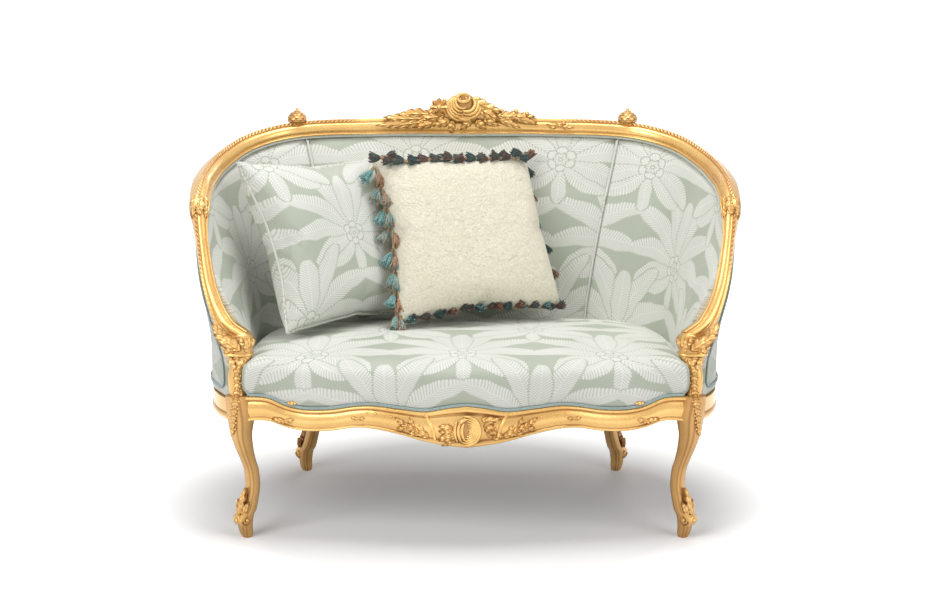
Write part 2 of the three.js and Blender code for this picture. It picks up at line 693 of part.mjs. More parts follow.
// Joints: where tenons and dowels stand, and which way they run.
const frontFoot = point(frontLegHalfSpan, 0, 0);
const frontTopPlace = point(legTopX - 1.1 * legSwing, frontLegRake, seatRailTop);
const rearFoot = point(rearLegHalfSpan, rearFootSetback, 0);
const rearTopPlace = point(rearLegTopHalfSpan - legSwing, rearLegTopSetback, seatRailTop);
const railMiddle = sideRailTop - sideRailDrop / 2;
const frontTenonAt = point(legTopX - kneeHalfWidth * 0.9, frontRailY(legTopX), railMiddle);
const sideTenonAt = sideRailCurve.getPoint(0.09).setZ(railMiddle);
const sideRearTenonAt = sideRailCurve.getPoint(0.925).setZ(railMiddle);
const rearTenonAt = point(rearLegTopHalfSpan - kneeHalfWidth * 0.8, rearLegTopSetback, railMiddle);
const sideFrontWay = sideRailCurve.getTangent(0.05).setZ(0);
const sideRearWay = sideRailCurve.getTangent(0.96).setZ(0);
const frontWay = point(1, 0, 0);
const up = point(0, 0, 1);
const crestDowel = (grow = 0) => dowel(lineFrame(crestJoint).origin, lineFrame(crestJoint).tangent, grow);
const knuckleDowel = (grow = 0) => dowel(lineFrame(knuckle).origin, lineFrame(knuckle).tangent, grow);
const legDowel = (grow = 0) => dowel(point(legTopX, legTopY, seatRailTop), up, grow);
const finialDowel = (grow = 0) => dowel(point(finialHalfSpan, finialSetback, finialSeat), up, grow);
const postTenon = (grow = 0) => tenon(point(postHalfSpan, postSetback - postInset, postTop - railFace / 2), up, grow);
const sawWidth = 3 * railFace;
const saw = (k) => placed(new THREE.BoxGeometry(sawWidth, sawWidth, clearance),
  frameAt(lineFrame(k).origin, lineFrame(k).tangent));
const frontLegBlank = (grow = 0) => cabriole(frontFoot, frontTopPlace, -1, grow);
const rearLegBlank = (grow = 0) => joined(cabriole(rearFoot, rearTopPlace, 1, grow), post(1, grow));
// The frame's cutters: each wooden piece a hair larger, for what is fitted against it.
const crestRailGrown = rail(-crestJoint, crestJoint, crestSteps, clearance);
const topRailGrown = rail(crestJoint, knuckle, railSteps, clearance);
const armFrontGrown = joined(rail(knuckle, scrollEnd, frontSteps, clearance), armConsole(clearance), volute(clearance));
const frontLegGrown = frontLegBlank(clearance);
const rearLegGrown = rearLegBlank(clearance);
const frontRailBlank = (grow = 0) =>
  planRail(frontRailPlaces(frontRailSteps, legTopX), frontProfileShares, railThickness, grow);
const sideRailBlank = (grow = 0) => planRail(sideRailPlaces(outlineSteps), plainProfileShares, railThickness, grow);
const rearRailBlank = (grow = 0) => planRail(rearRailPlaces(rearSteps), plainProfileShares, railThickness, grow);

function addLegs() {
  const front = cutBy(joined(frontLegBlank(), toe(frontFoot, -1)),
    tenon(frontTenonAt, frontWay, clearance), tenon(sideTenonAt, sideFrontWay, clearance),
    legDowel(clearance));
  const rear = joined(cutBy(joined(rearLegBlank(), toe(rearFoot, 1)), topRailGrown,
    tenon(sideRearTenonAt, sideRearWay, clearance), tenon(rearTenonAt, frontWay, clearance)), postTenon());
  addPair('front_leg', front, giltwood);
  addPair('rear_leg', rear, giltwood);
}

function addSeatRails() {
  const frontTenon = tenon(frontTenonAt, frontWay);
  const front = cutBy(frontRailBlank(), ...both(frontLegGrown));
  add('front_seat_rail', joined(front, ...both(frontTenon)), giltwood);
  const sideRail = joined(cutBy(sideRailBlank(), frontLegGrown, rearLegGrown),
    tenon(sideTenonAt, sideFrontWay), tenon(sideRearTenonAt, sideRearWay));
  addPair('side_seat_rail', sideRail, giltwood);
  const rear = cutBy(rearRailBlank(), ...both(rearLegGrown));
  add('rear_seat_rail', joined(rear, ...both(tenon(rearTenonAt, frontWay))), giltwood);
}

// Blocks glued into the frame's inner corners: triangles trimmed by the legs and rails.
const blockShape = (corner, xWay, yWay) => {
  const reach = 2 * blockLeg;
  const shape = new THREE.Shape([
    new THREE.Vector2(corner.x, corner.y),
    new THREE.Vector2(corner.x - xWay * reach, corner.y),
    new THREE.Vector2(corner.x, corner.y + yWay * reach),
  ]);
  return placed(new THREE.ExtrudeGeometry(shape, { depth: blockHeight, bevelEnabled: false }),
    new THREE.Matrix4().setPosition(0, 0, blockBottom));
};
function addCornerBlocks() {
  const front = cutBy(blockShape(frontTopPlace, 1, 1), frontLegGrown, frontRailBlank(clearance),
    sideRailBlank(clearance));
  const rear = cutBy(blockShape(rearTopPlace, 1, -1), rearLegGrown, rearRailBlank(clearance),
    sideRailBlank(clearance));
  addPair('corner_block_front', front, beech);
  addPair('corner_block_rear', rear, beech);
}

function addTopRails() {
  const crestPiece = cutBy(crest(), saw(crestJoint), saw(-crestJoint));
  add('crest_rail', joined(crestPiece, ...both(crestDowel())), giltwood);
  const side = cutBy(rail(crestJoint, knuckle, railSteps), saw(crestJoint), saw(knuckle), crestDowel(clearance),
    knuckleDowel(clearance), postTenon(clearance), finialDowel(clearance));
  const front = joined(cutBy(armFront(), saw(knuckle)), knuckleDowel(), legDowel());
  const bud = joined(cutBy(finial(1), topRailGrown), finialDowel());
  addPair('top_rail', side, giltwood);
  addPair('arm_front', front, giltwood);
  addPair('finial', bud, giltwood);
}

// Plan outline of the seat frame, inside the front rail and on the other rails' middles.
const seatMiddle = point(0, seatMiddleShare * seatDepth, 0);
function frameOutline() {
  const front = along(legSides, -legTopX + consoleFlare, legTopX - consoleFlare)
    .map((x) => point(x, frontRailY(x) + railThickness / 2 + clearance, 0));
  const right = sideRailPlaces(outlineSteps).map(({ at }) => at);
  const rear = rearRailPlaces(rearSteps).slice(1, -1).map(({ at }) => at).toReversed();
  const left = right.toReversed().map((p) => point(-p.x, p.y, 0));
  return [...front, ...right, ...rear, ...left];
}
// An outline drawn in by a distance, or by one across and one front to back, and lifted to a height.
const depthOf = (outline) => mean(...[Math.max, Math.min].map(
  (f) => Math.abs(f(...outline.map((p) => p.y)) - seatMiddle.y)));
function drawnIn(outline, inset, height, insetDepth = inset) {
  const spanX = Math.max(...outline.map((p) => p.x));
  const spanY = depthOf(outline);
  return outline.map((p) => p.clone().sub(seatMiddle)
    .multiply(point(1 - inset / spanX, 1 - insetDepth / spanY, 1)).add(seatMiddle).setZ(height(p)));
}
const level = (z) => () => z;

function plate(bottom, thickness) {
  return loft([drawnIn(frameOutline(), 0, level(bottom)), drawnIn(frameOutline(), 0, level(bottom + thickness))]);
}
const underFrame = (solid) => cutBy(solid, ...both(frontLegGrown), ...both(rearLegGrown), frontRailBlank(clearance),
  ...both(sideRailBlank(clearance)), rearRailBlank(clearance));

function addWebbing() {
  const middleY = mean(...[0, 1].map((i) => i * rearLegTopSetback));
  const spanX = 2 * seatHalfWidth * webbingSpanShare;
  const strap = (length, turned, x, y) => placed(
    new THREE.BoxGeometry(turned ? webbingWidth : length, turned ? length : webbingWidth, webbingThickness),
    new THREE.Matrix4().setPosition(x, y, webbingHeight + webbingThickness / 2));
  const across = range(webbingLongCount).map((i) =>
    strap(webbingRun, false, 0, middleY + (i - (webbingLongCount - 1) / 2) * (webbingWidth * 2.4)));
  const down = range(webbingCrossCount).map((i) =>
    strap(webbingRun, true, (i / (webbingCrossCount - 1) - 0.5) * spanX, middleY));
  const grid = joined(...across, ...down).intersect(plate(webbingHeight - overrun, 2 * overrun + webbingThickness));
  put('seat_webbing', largest(underFrame(grid)), jute);
}

// The spring field's cover: flat over the rails and raised over the springs.
const fieldRim = sideHalfWidth - seatHalfWidth + fieldGap;
const fieldRimDepth = mean(rearLegTopSetback - seatDepth, 0) + fieldDepthGap;
function springBox(lift) {
  const outline = frameOutline();
  return loft([
    drawnIn(outline, 0, level(webbingHeight + 2 * webbingThickness)),
    drawnIn(outline, 0, level(sideRailTop + clearance + lift)),
    drawnIn(outline, fieldRim - lift, level(sideRailTop + clearance + lift), fieldRimDepth - lift),
    drawnIn(outline, fieldRim + fieldSlope - lift, level(springTop + lift), fieldRimDepth + fieldSlope - lift),
  ]);
}
function addHessian() {
  const sheet = underFrame(cutBy(springBox(hessianThickness), springBox(0)));
  add('hessian_sheet', sheet, jute, hiddenTidyShare);
  const lower = plate(webbingHeight - dustCoverDrop, dustCoverThickness);
  add('dust_cover', underFrame(lower), cambric);
}

function spring(x, y) {
  const bottom = webbingHeight + webbingThickness + springWire + clearance;
  const height = springTop - springWire - bottom - clearance;
  const steps = springCurls * springStepsPerCurl;
  const path = along(steps).map((t) => {
    const angle = 2 * Math.PI * springCurls * t;
    const radius = springRadius * lerp(springWaistShare, 1, (2 * t - 1) ** 2);
    return point(x + radius * Math.cos(angle), y + radius * Math.sin(angle), bottom + t * height);
  });
  return cord(path, springWire, up, false, springSides);
}
function addSprings() {
  const columns = springCount / 2;
  const spanX = 2 * seatHalfWidth * springSpanShare;
  const raisedShare = 1 - (fieldRimDepth + fieldSlope) / depthOf(frameOutline());
  const spanY = 2 * (seatMiddle.y - frontRailSetback) * raisedShare * springDepthShare;
  range(springCount).forEach((i) => {
    const x = ((i % columns) / (columns - 1) - 0.5) * spanX;
    const y = seatMiddle.y + (Math.floor(i / columns) - 0.5) * spanY;
    add(`seat_spring_${i + 1}`, spring(x, y), steel);
  });
}

// Padding and outside covers of the tub.
const weltK = (u) => Math.sign(u) * railK(Math.abs(u));
const onRailBack = (u, depthShare, heightShare) => sectionPoint(lineFrame(weltK(u)), depthShare, heightShare);
const innerWeltPath = along(4 * padColumns, -1, 1).map((u) => onRailBack(u, 0.5, -0.62));
const innerWelt = () => cutBy(cord(innerWeltPath, weltRadius, up), ...both(topRailGrown), ...both(armFrontGrown));
const seamPath = along(padRows * 2, 0.12, 0.955).map((v) => tubPlace(seamU, v, -0.01));
const seam = (grow = 0) => cord(seamPath, seamRadius + grow, point(0, -1, 0));
const fitted = (solid) => cutBy(solid, ...both(armFrontGrown), ...both(topRailGrown), ...both(postTenon(clearance)),
  ...both(rearLegGrown), ...both(frontLegGrown));
const padHeights = along(padRows);
function addPads() {
  const cuts = both(seam(clearance));
  const back = fitted(tubSlab(-seamU, seamU, 0, padThicknessShare, padColumns, padHeights));
  add('inside_back_pad', cutBy(back, ...cuts), damask);
  const arm = fitted(tubSlab(seamU + seamGapShare, 1, 0, padThicknessShare, armColumns, padHeights));
  const armCut = cutBy(arm, ...cuts);
  addPair('inside_arm_pad', armCut, damask);
  add('inner_welt', innerWelt(), trim);
  addPair('back_seam', seam(), trim);
}

const coverFootShare = (sideRailTop + clearance - padFoot) / (backRailHeight - padFoot);
const coverHeights = along(padRows, coverFootShare);
function addOutsideCovers() {
  const from = 1 - panelThicknessShare;
  const back = fitted(tubSlab(-seamU, seamU, from, 1, padColumns, coverHeights));
  add('outside_back_cover', back, damask);
  const arm = fitted(tubSlab(seamU + seamGapShare, 1, from, 1, armColumns, coverHeights));
  addPair('outside_arm_cover', arm, damask);
}

// Seat: rings from under the stuffing, out over the rail, up the stuffed edge and in to the crown.
const seatRowShares = [         // drawn in (of the roll), height from the rail to the crown
  [2, 0], [0, 0], [-0.9, 0.26], [-0.8, 0.56], [0.5, 0.79], [4, 0.91], [11, 0.98], [17, 1],
];
function seatOutline() {
  const front = along(seatFrontSteps, -1, 1).map((t) => {
    const x = t * seatHalfWidth;
    return point(x, frontRailY(x) - seatFace, frontTop(x) + clearance);
  });
  const right = along(seatSideSteps, 1, 0).slice(0, -1).map((u) => onPlan(innerLine, u).setZ(padFoot));
  const left = right.toReversed().map((p) => point(-p.x, p.y, padFoot));
  return [...front, ...right, point(0, seatDepth, padFoot), ...left];
}
function seatBody(skin, drop = 0) {
  const outline = seatOutline();
  const top = seatCrown - skin;
  const under = drawnIn(outline, seatRoll * 2.5, () => padFoot - drop);
  return loft([under, ...seatRowShares.map(([inset, rise]) => drawnIn(outline, inset * seatRoll + skin,
    (p) => lerp(p.z - (rise === 0 ? drop : 0), top, rise)))]);
}
const seatGimpPath = along(frontRailSteps, -1, 1).map((t) => {
  const x = t * (legTopX - consoleWaist - 2 * seamRadius);
  return point(x, frontRailY(x) - seatFace - seamRadius * 1.7, frontTop(x) + seamRadius + clearance);
});
const seatGimp = (grow = 0) => cutBy(cord(seatGimpPath, seamRadius + grow, up), frontRailBlank(clearance),
  ...both(armFrontGrown), ...both(frontLegGrown));
function addSeat() {
  const within = (solid, gap = clearance) => cutBy(solid, springBox(hessianThickness + clearance),
    ...both(armFrontGrown), ...both(frontLegGrown), ...seatWalls(), frontRailBlank(gap),
    ...both(seam(clearance)));
  const stuffing = cutBy(within(seatBody(coverThickness + clearance), 2 * clearance), seatGimp(clearance));
  const cover = cutBy(within(seatBody(0)), seatBody(coverThickness, overrun), seatGimp(clearance));
  add('seat_stuffing', stuffing, jute);
  add('seat_cover', cover, damask);
  add('seat_gimp', seatGimp(), trim);
}
// What keeps the seat off the padding: the padding's faces moved out by the clearance.
const wallHeights = [-1, 0, 1, 2].map((row) => row / padRows);
const seatWalls = () => [
  tubSlab(-seamU, seamU, -wallShare, padThicknessShare, padColumns, wallHeights),
  ...both(tubSlab(seamU, 1, -wallShare, padThicknessShare, armColumns, wallHeights, 2 * overrun)),
];

// Loose cushions: a pillow with drawn-in sides, its rim cord, and its pose on the seat.
function pillowPoint(s, t, face, size) {
  const draw = (across, beside) => across * (1 - sideDrawShare * (1 - beside ** 2) * 2);
  const full = Math.max(0, (1 - s ** 4) * (1 - t ** 4)) ** 0.5;
  return point(draw(s, t) * size / 2, draw(t, s) * size / 2,
    face * cushionThickness * (rimShare / 2 + full / 2));
}
function pillow(size) {
  const cells = range(pillowGrid + 1).map((i) => Math.sin((i / pillowGrid - 0.5) * Math.PI));
  const face = (sign) => cells.map((t) => cells.map((s) => pillowPoint(s, t, sign, size)));
  const points = [...face(1).flat(), ...face(-1).flat()];
  const width = pillowGrid + 1;
  const layer = width * width;
  const index = [];
  const quad = (a, b, c, d) => index.push(a, b, c, a, c, d);
  range(pillowGrid).forEach((i) => range(pillowGrid).forEach((j) => {
    const a = i * width + j;
    quad(a, a + 1, a + 1 + width, a + width);
    quad(layer + a, layer + a + width, layer + a + 1 + width, layer + a + 1);
  }));
  const rim = rimLoop();
  rim.forEach((a, i) => {
    const b = rim[(i + 1) % rim.length];
    quad(a, a + layer, b + layer, b);
  });
  return solidOf(points, index);
}
function rimLoop() {
  const width = pillowGrid + 1;
  const end = pillowGrid;
  return [
    ...range(end).map((j) => j), ...range(end).map((i) => i * width + end),
    ...range(end).map((j) => end * width + end - j), ...range(end).map((i) => (end - i) * width),
  ];
}
function rimPath(size, out) {
  const edge = along(rimSteps, -1, 1).slice(0, -1).map((t) => Math.sin(t * Math.PI / 2));
  const corner = (s, t) => pillowPoint(s, t, 0, size + 2 * out / (1 - 2 * sideDrawShare));
  return [...edge.map((s) => corner(s, -1)), ...edge.map((t) => corner(1, t)),
    ...edge.map((s) => corner(-s, 1)), ...edge.map((t) => corner(-1, -t))];
}

// A cushion's pose: middle, turn about the vertical, lean back and roll in its own plane.
function poseOf({ middle, turn, lean, roll }) {
  const across = point(Math.cos(turn), Math.sin(turn), 0);
  const outward = point(Math.sin(turn), -Math.cos(turn), 0);
  const normal = outward.clone().multiplyScalar(Math.cos(lean)).addScaledVector(up, Math.sin(lean));
  const rise = normal.clone().cross(across);
  return new THREE.Matrix4().makeBasis(across, rise, normal)
    .multiply(new THREE.Matrix4().makeRotationZ(roll)).setPosition(middle);
}
const degrees = THREE.MathUtils.degToRad;
const cornerTurn = degrees(46);
const tasselTurn = degrees(17);
const cornerPose = poseOf({
  middle: point(-0.5961 * mean(seatHalfWidth, armHalfWidth), 0.765 * seatDepth, seatCrown + 0.455 * cushionSize),
  turn: cornerTurn, lean: degrees(21), roll: 0,
});
const tasselPose = poseOf({
  middle: point(0.01 * seatHalfWidth, 0.86 * seatDepth, seatCrown + 0.47 * cushionSize),
  turn: tasselTurn, lean: degrees(24), roll: degrees(2),
});
const posed = (solid, pose) => placed(geometryOf(solid), pose);

// Moved along a way until it stands a hair short of what blocks it.
function settled(parts, blocks, way) {
  const whole = joined(...parts);
  const moved = (solid, distance) => solid.translate(way.clone().multiplyScalar(distance).toArray());
  let clear = -cushionThickness;
  let stopped = cushionThickness;
  for (let i = 0; i < 16; i++) {
    const middle = mean(clear, stopped);
    if (moved(whole, middle).intersect(blocks).volume() > 0) stopped = middle;
    else clear = middle;
  }
  return parts.map((solid) => moved(solid, clear - clearance));
}

// A tassel hanging from the origin along minus Y.
const tasselProfileShares = [[0, 0], [0.62, 0.08], [0.4, 0.26], [1, 1], [0, 1]];
function tassel(grow) {
  const outline = tasselProfileShares.map(([r, h]) =>
    new THREE.Vector2(r * (tasselRadius + grow), -h * (tasselLength + grow)));
  return new THREE.LatheGeometry(outline.toReversed(), tasselSides);
}
const tasselPitch = cushionSize / (tasselsPerSide + 0.6);

// One side's fringe in the cushion's frame: a cord with tassels, which hang as the side allows.
function fringeSide(turn, lay, sway, grow = 0) {
  const path = rimPath(cushionSize, fringeCordRadius + clearance).slice(0, rimSteps + 1);
  const run = cord(path.slice(1, -1), fringeCordRadius + grow, up);
  const tassels = range(tasselsPerSide).map((i) => {
    const x = (i - (tasselsPerSide - 1) / 2) * tasselPitch;
    const y = pillowPoint(2 * x / cushionSize, -1, 0, cushionSize).y - fringeCordRadius;
    const place = new THREE.Matrix4().makeRotationZ(sway).multiply(new THREE.Matrix4().makeRotationX(lay));
    return placed(tassel(grow), place.setPosition(x, y + fringeCordRadius / 2, 0));
  });
  const whole = joined(run, ...tassels);
  return posed(whole, new THREE.Matrix4().makeRotationZ(turn));
}
const fringeSides = [           // word, turn about the cushion, lay out of its plane, sway in it
  ['bottom', 0, degrees(-62), 0],
  ['right', degrees(90), degrees(-12), degrees(-68)],
  ['top', degrees(180), degrees(-38), 0],
  ['left', degrees(-90), degrees(-12), degrees(68)],
];

const backWay = (turn) => point(-Math.sin(turn), Math.cos(turn), 0);
const downWay = point(0, 0, -1);
function addCushions(below, back) {
  const size = cushionSize;
  const pipe = cord(rimPath(size, cushionCordRadius + 3 * clearance), cushionCordRadius, up, true);
  const cornerParts = [pillow(size), pipe].map((solid) => posed(solid, cornerPose));
  const [cornerPad, cornerPipe] = settled(settled(cornerParts, back, backWay(cornerTurn)), below, downWay);
  add('corner_cushion', cornerPad, damask);
  add('corner_cushion_piping', cornerPipe, damask);
  const fringes = fringeSides.map(([, ...ways]) => fringeSide(...ways));
  const tasselPad = cutBy(pillow(size), ...fringeSides.map(([, ...ways]) => fringeSide(...ways, clearance)));
  const tasselParts = [tasselPad, ...fringes].map((solid) => posed(solid, tasselPose));
  const [pad, ...trims] = settled(
    settled(tasselParts, joined(back, cornerPad, cornerPipe), backWay(tasselTurn)), below, downWay);
  add('tassel_cushion', pad, creamCloth);
  fringeSides.forEach(([word], i) => add(`fringe_${word}`, trims[i], fringe));
}

addLegs();
addSeatRails();
addCornerBlocks();
addTopRails();
addWebbing();
addHessian();
addSprings();
addPads();
addOutsideCovers();
addSeat();
addCushions(bodies.get('seat_cover'), joined(...['inside_back_pad', 'inside_arm_pad_right', 'inside_arm_pad_left',
  'back_seam_right', 'back_seam_left'].map((name) => bodies.get(name))));

// The whole stands on the floor with its middle at the origin.
sofa.updateMatrixWorld(true);
sofa.position.y = -new THREE.Box3().setFromObject(sofa).getCenter(point(0, 0, 0)).y;
sofa.updateMatrixWorld(true);
export default sofa;
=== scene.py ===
import math
import bpy
import numpy as np
from mathutils import Matrix, Vector


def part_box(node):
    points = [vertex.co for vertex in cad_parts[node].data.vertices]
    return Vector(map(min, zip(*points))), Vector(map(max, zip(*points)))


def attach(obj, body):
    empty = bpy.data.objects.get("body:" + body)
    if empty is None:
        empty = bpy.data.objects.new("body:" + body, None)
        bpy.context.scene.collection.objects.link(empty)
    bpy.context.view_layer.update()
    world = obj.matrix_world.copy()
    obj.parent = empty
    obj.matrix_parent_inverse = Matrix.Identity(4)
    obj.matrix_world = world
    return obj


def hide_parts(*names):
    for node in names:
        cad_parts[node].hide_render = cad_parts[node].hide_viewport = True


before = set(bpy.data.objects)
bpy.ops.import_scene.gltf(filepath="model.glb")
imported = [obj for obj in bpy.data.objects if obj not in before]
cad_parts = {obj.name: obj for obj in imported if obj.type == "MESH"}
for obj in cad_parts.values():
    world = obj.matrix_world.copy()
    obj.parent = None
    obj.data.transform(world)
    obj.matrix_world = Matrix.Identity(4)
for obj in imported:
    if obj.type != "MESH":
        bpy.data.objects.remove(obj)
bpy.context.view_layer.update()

# The part's own frame is centred; the tables below are in millimetres, with Y from the middle of the
# front feet, and give the right-hand side.
FEET_Y = -0.25586
MM = 0.001
RIGHT, UP, FORWARD = np.array([1.0, 0, 0]), np.array([0, 0, 1.0]), np.array([0, -1.0, 0])


def srgb(r, g, b):
    """A colour given in 0 to 255 as the screen shows it, as linear light."""
    return tuple(((c / 255) / 12.92 if c <= 10 else ((c / 255 + 0.055) / 1.055) ** 2.4) for c in (r, g, b))


# Meshes
class Part:
    """Vertices in millimetres with a cloth coordinate and a recess value each, and faces over them; the
    recess value lays brown wax and painted shade on the gilt.
    """

    def __init__(self):
        self.verts, self.quads, self.tris, self.uv, self.age = [], [], [], [], []
        self.count = 0

    def add(self, verts, quads=None, tris=None, uv=None, age=None):
        """More vertices, and faces that count from the first of them."""
        verts = np.asarray(verts, float).reshape(-1, 3)
        n = len(verts)
        if quads is not None and len(quads):
            self.quads.append(np.asarray(quads, int) + self.count)
        if tris is not None and len(tris):
            self.tris.append(np.asarray(tris, int) + self.count)
        self.verts.append(verts)
        self.uv.append(np.zeros((n, 2)) if uv is None else np.asarray(uv, float).reshape(-1, 2))
        wax_and_shade_values = np.zeros(n) if age is None else np.asarray(age, float).reshape(-1)
        self.age.append(np.broadcast_to(wax_and_shade_values, (n,)))
        self.count += n

    def mirror(self):
        """The left-hand piece, its faces turned the right way out."""
        other = Part()
        v = np.concatenate(self.verts) * np.array([-1, 1, 1])
        q = np.concatenate(self.quads)[:, ::-1] if self.quads else None
        t = np.concatenate(self.tris)[:, ::-1] if self.tris else None
        uv = np.concatenate(self.uv) * np.array([-1, 1])
        other.add(v, q, t, uv, np.concatenate(self.age))
        return other

    def make(self, name, material, sharp=None, local=False):
        """The object in metres; sharp is the angle from which edges show, local leaves out FEET_Y."""
        v = np.concatenate(self.verts) * MM
        if not local:
            v = v + np.array([0, FEET_Y, 0])
        q = np.concatenate(self.quads) if self.quads else np.zeros((0, 4), int)
        t = np.concatenate(self.tris) if self.tris else np.zeros((0, 3), int)
        mesh = bpy.data.meshes.new(name)
        mesh.vertices.add(len(v))
        mesh.vertices.foreach_set("co", v.astype(np.float32).ravel())
        loops = np.concatenate([q.ravel(), t.ravel()]).astype(np.int32)
        mesh.loops.add(len(loops))
        mesh.loops.foreach_set("vertex_index", loops)
        starts = np.concatenate([np.arange(len(q)) * 4, len(q) * 4 + np.arange(len(t)) * 3])
        mesh.polygons.add(len(q) + len(t))
        mesh.polygons.foreach_set("loop_start", starts.astype(np.int32))
        mesh.update(calc_edges=True)
        layer = mesh.uv_layers.new(name="cloth")
        layer.data.foreach_set("uv", (np.concatenate(self.uv)[loops] * MM).astype(np.float32).ravel())
        recess = mesh.attributes.new("recess", "FLOAT", "POINT")
        recess.data.foreach_set("value", np.concatenate(self.age).astype(np.float32))
        mesh.validate()
        mesh.shade_smooth()
        if sharp:
            mesh.set_sharp_from_angle(angle=math.radians(sharp))
        mesh.materials.append(material)
        obj = bpy.data.objects.new(name, mesh)
        bpy.context.scene.collection.objects.link(obj)
        return obj


def grid_faces(rows, columns, wrap=False):
    """Quads over a grid of rows by columns; wrap closes each row."""
    i = np.arange(rows - 1)[:, None]
    j = np.arange(columns if wrap else columns - 1)[None, :]
    a = i * columns + j
    b = i * columns + (j + 1) % columns
    return np.stack([a, b, b + columns, a + columns], -1).reshape(-1, 4)


def unit(v):
    """Each vector at a length of 1."""
    v = np.asarray(v, float)
    return v / np.maximum(np.linalg.norm(v, axis=-1, keepdims=True), 1e-12)


def smooth(x, low, high):
    """0 below low, 1 above high, and an even rise between them."""
    t = np.clip((np.asarray(x, float) - low) / (high - low), 0, 1)
    return t * t * (3 - 2 * t)


def loft(part, rings, age=None, caps=True, uv=None):
    """Closed rings joined into a tube, with a fan over each end."""
    rings = np.asarray(rings, float)
    n, m = rings.shape[:2]
    wax_and_shade_values = np.broadcast_to(0.0 if age is None else age, (n, m)).reshape(-1)
    verts = rings.reshape(-1, 3)
    tris = []
    if caps:
        verts = np.concatenate([verts, rings[0].mean(0)[None], rings[-1].mean(0)[None]])
        wax_and_shade_values = np.concatenate([wax_and_shade_values, [wax_and_shade_values[:m].mean(), wax_and_shade_values[-m:].mean()]])
        j = np.arange(m)
        k = (j + 1) % m
        tris = np.concatenate([np.stack([k, j, np.full(m, n * m)], 1),
                               np.stack([(n - 1) * m + j, (n - 1) * m + k, np.full(m, n * m + 1)], 1)])
    if uv is not None:
        uv = np.asarray(uv, float).reshape(-1, 2)
        uv = np.concatenate([uv, uv[:1], uv[-1:]]) if caps else uv
    part.add(verts, grid_faces(n, m, True), tris, uv, wax_and_shade_values)


def curve(points):
    """A smooth curve through points, taken at 0 to 1 in equal steps a span."""
    p = np.asarray(points, float)
    n = len(p)

    def at(t):
        """The point at t; each span's ends lean by the distances to the points beyond them."""
        spot = (n - 1) * min(max(t, 0.0), 1.0)
        i = min(int(spot), n - 2)
        w = spot - i
        p1, p2 = p[i], p[i + 1]
        p0 = p[i - 1] if i > 0 else 2 * p[0] - p[1]
        p3 = p[i + 2] if i + 2 < n else 2 * p[-1] - p[-2]
        d0, d1, d2 = (np.linalg.norm(b - a) ** 0.5 for a, b in ((p0, p1), (p1, p2), (p2, p3)))
        d1 = d1 if d1 > 1e-4 else 1.0
        d0 = d0 if d0 > 1e-4 else d1
        d2 = d2 if d2 > 1e-4 else d1
        m1 = ((p1 - p0) / d0 - (p2 - p0) / (d0 + d1) + (p2 - p1) / d1) * d1
        m2 = ((p2 - p1) / d1 - (p3 - p1) / (d1 + d2) + (p3 - p2) / d2) * d1
        return (p1 + m1 * w + (-3 * p1 + 3 * p2 - 2 * m1 - m2) * w * w
                + (2 * p1 - 2 * p2 + m1 + m2) * w ** 3)

    return at


def tangent(at, t):
    """The way a curve runs at t."""
    return unit(at(min(t + 1e-4, 1.0)) - at(max(t - 1e-4, 0.0)))


def run_length(points):
    """Distance along a line of points, from 0 at its first."""
    return np.concatenate([[0], np.cumsum(np.linalg.norm(np.diff(points, axis=0), axis=1))])


def resample(points, step):
    """Points along a polyline at about equal steps."""
    p = np.asarray(points, float)
    d = run_length(p)
    s = np.linspace(0, d[-1], max(2, int(round(d[-1] / step)) + 1))
    return np.stack([np.interp(s, d, p[:, i]) for i in range(3)], 1)


def tube(part, path, radius, reference=UP, sides=10, closed=False, age=None):
    """A round cord along a path; radius may change along it, and its recess value, brown wax and painted
    shade, round it.
    """
    path = np.asarray(path, float)
    ahead = np.roll(path, -1, 0) - np.roll(path, 1, 0) if closed else np.gradient(path, axis=0)
    way = unit(ahead)
    across = unit(np.cross(way, np.broadcast_to(np.asarray(reference, float), path.shape)))
    over = np.cross(across, way)
    radius = np.broadcast_to(np.asarray(radius, float), (len(path),))[:, None, None]
    angle = np.arange(sides) * 2 * math.pi / sides
    ring = (path[:, None] + across[:, None] * (np.cos(angle)[None, :, None] * radius)
            + over[:, None] * (np.sin(angle)[None, :, None] * radius))
    uv = np.stack(np.broadcast_arrays(run_length(path)[:, None], (angle * radius.mean())[None, :]), -1)
    if closed:
        faces = grid_faces(len(path) + 1, sides, True) % (len(path) * sides)
        part.add(ring, faces, None, uv, age)
    else:
        loft(part, ring, age, True, uv)


BALL_ROWS, BALL_SIDES = 8, 12


def ball(part, centre, radius, age=0.0):
    """A ball, or a squashed one where radius has three values."""
    phi = np.linspace(0, math.pi, BALL_ROWS + 1)[:, None]
    theta = (np.arange(BALL_SIDES) * 2 * math.pi / BALL_SIDES)[None, :]
    p = np.stack([np.sin(phi) * np.cos(theta), np.sin(phi) * np.sin(theta), np.cos(phi) + 0 * theta], -1)
    loft(part, p * np.broadcast_to(np.asarray(radius, float), 3) + np.asarray(centre, float), age, False)


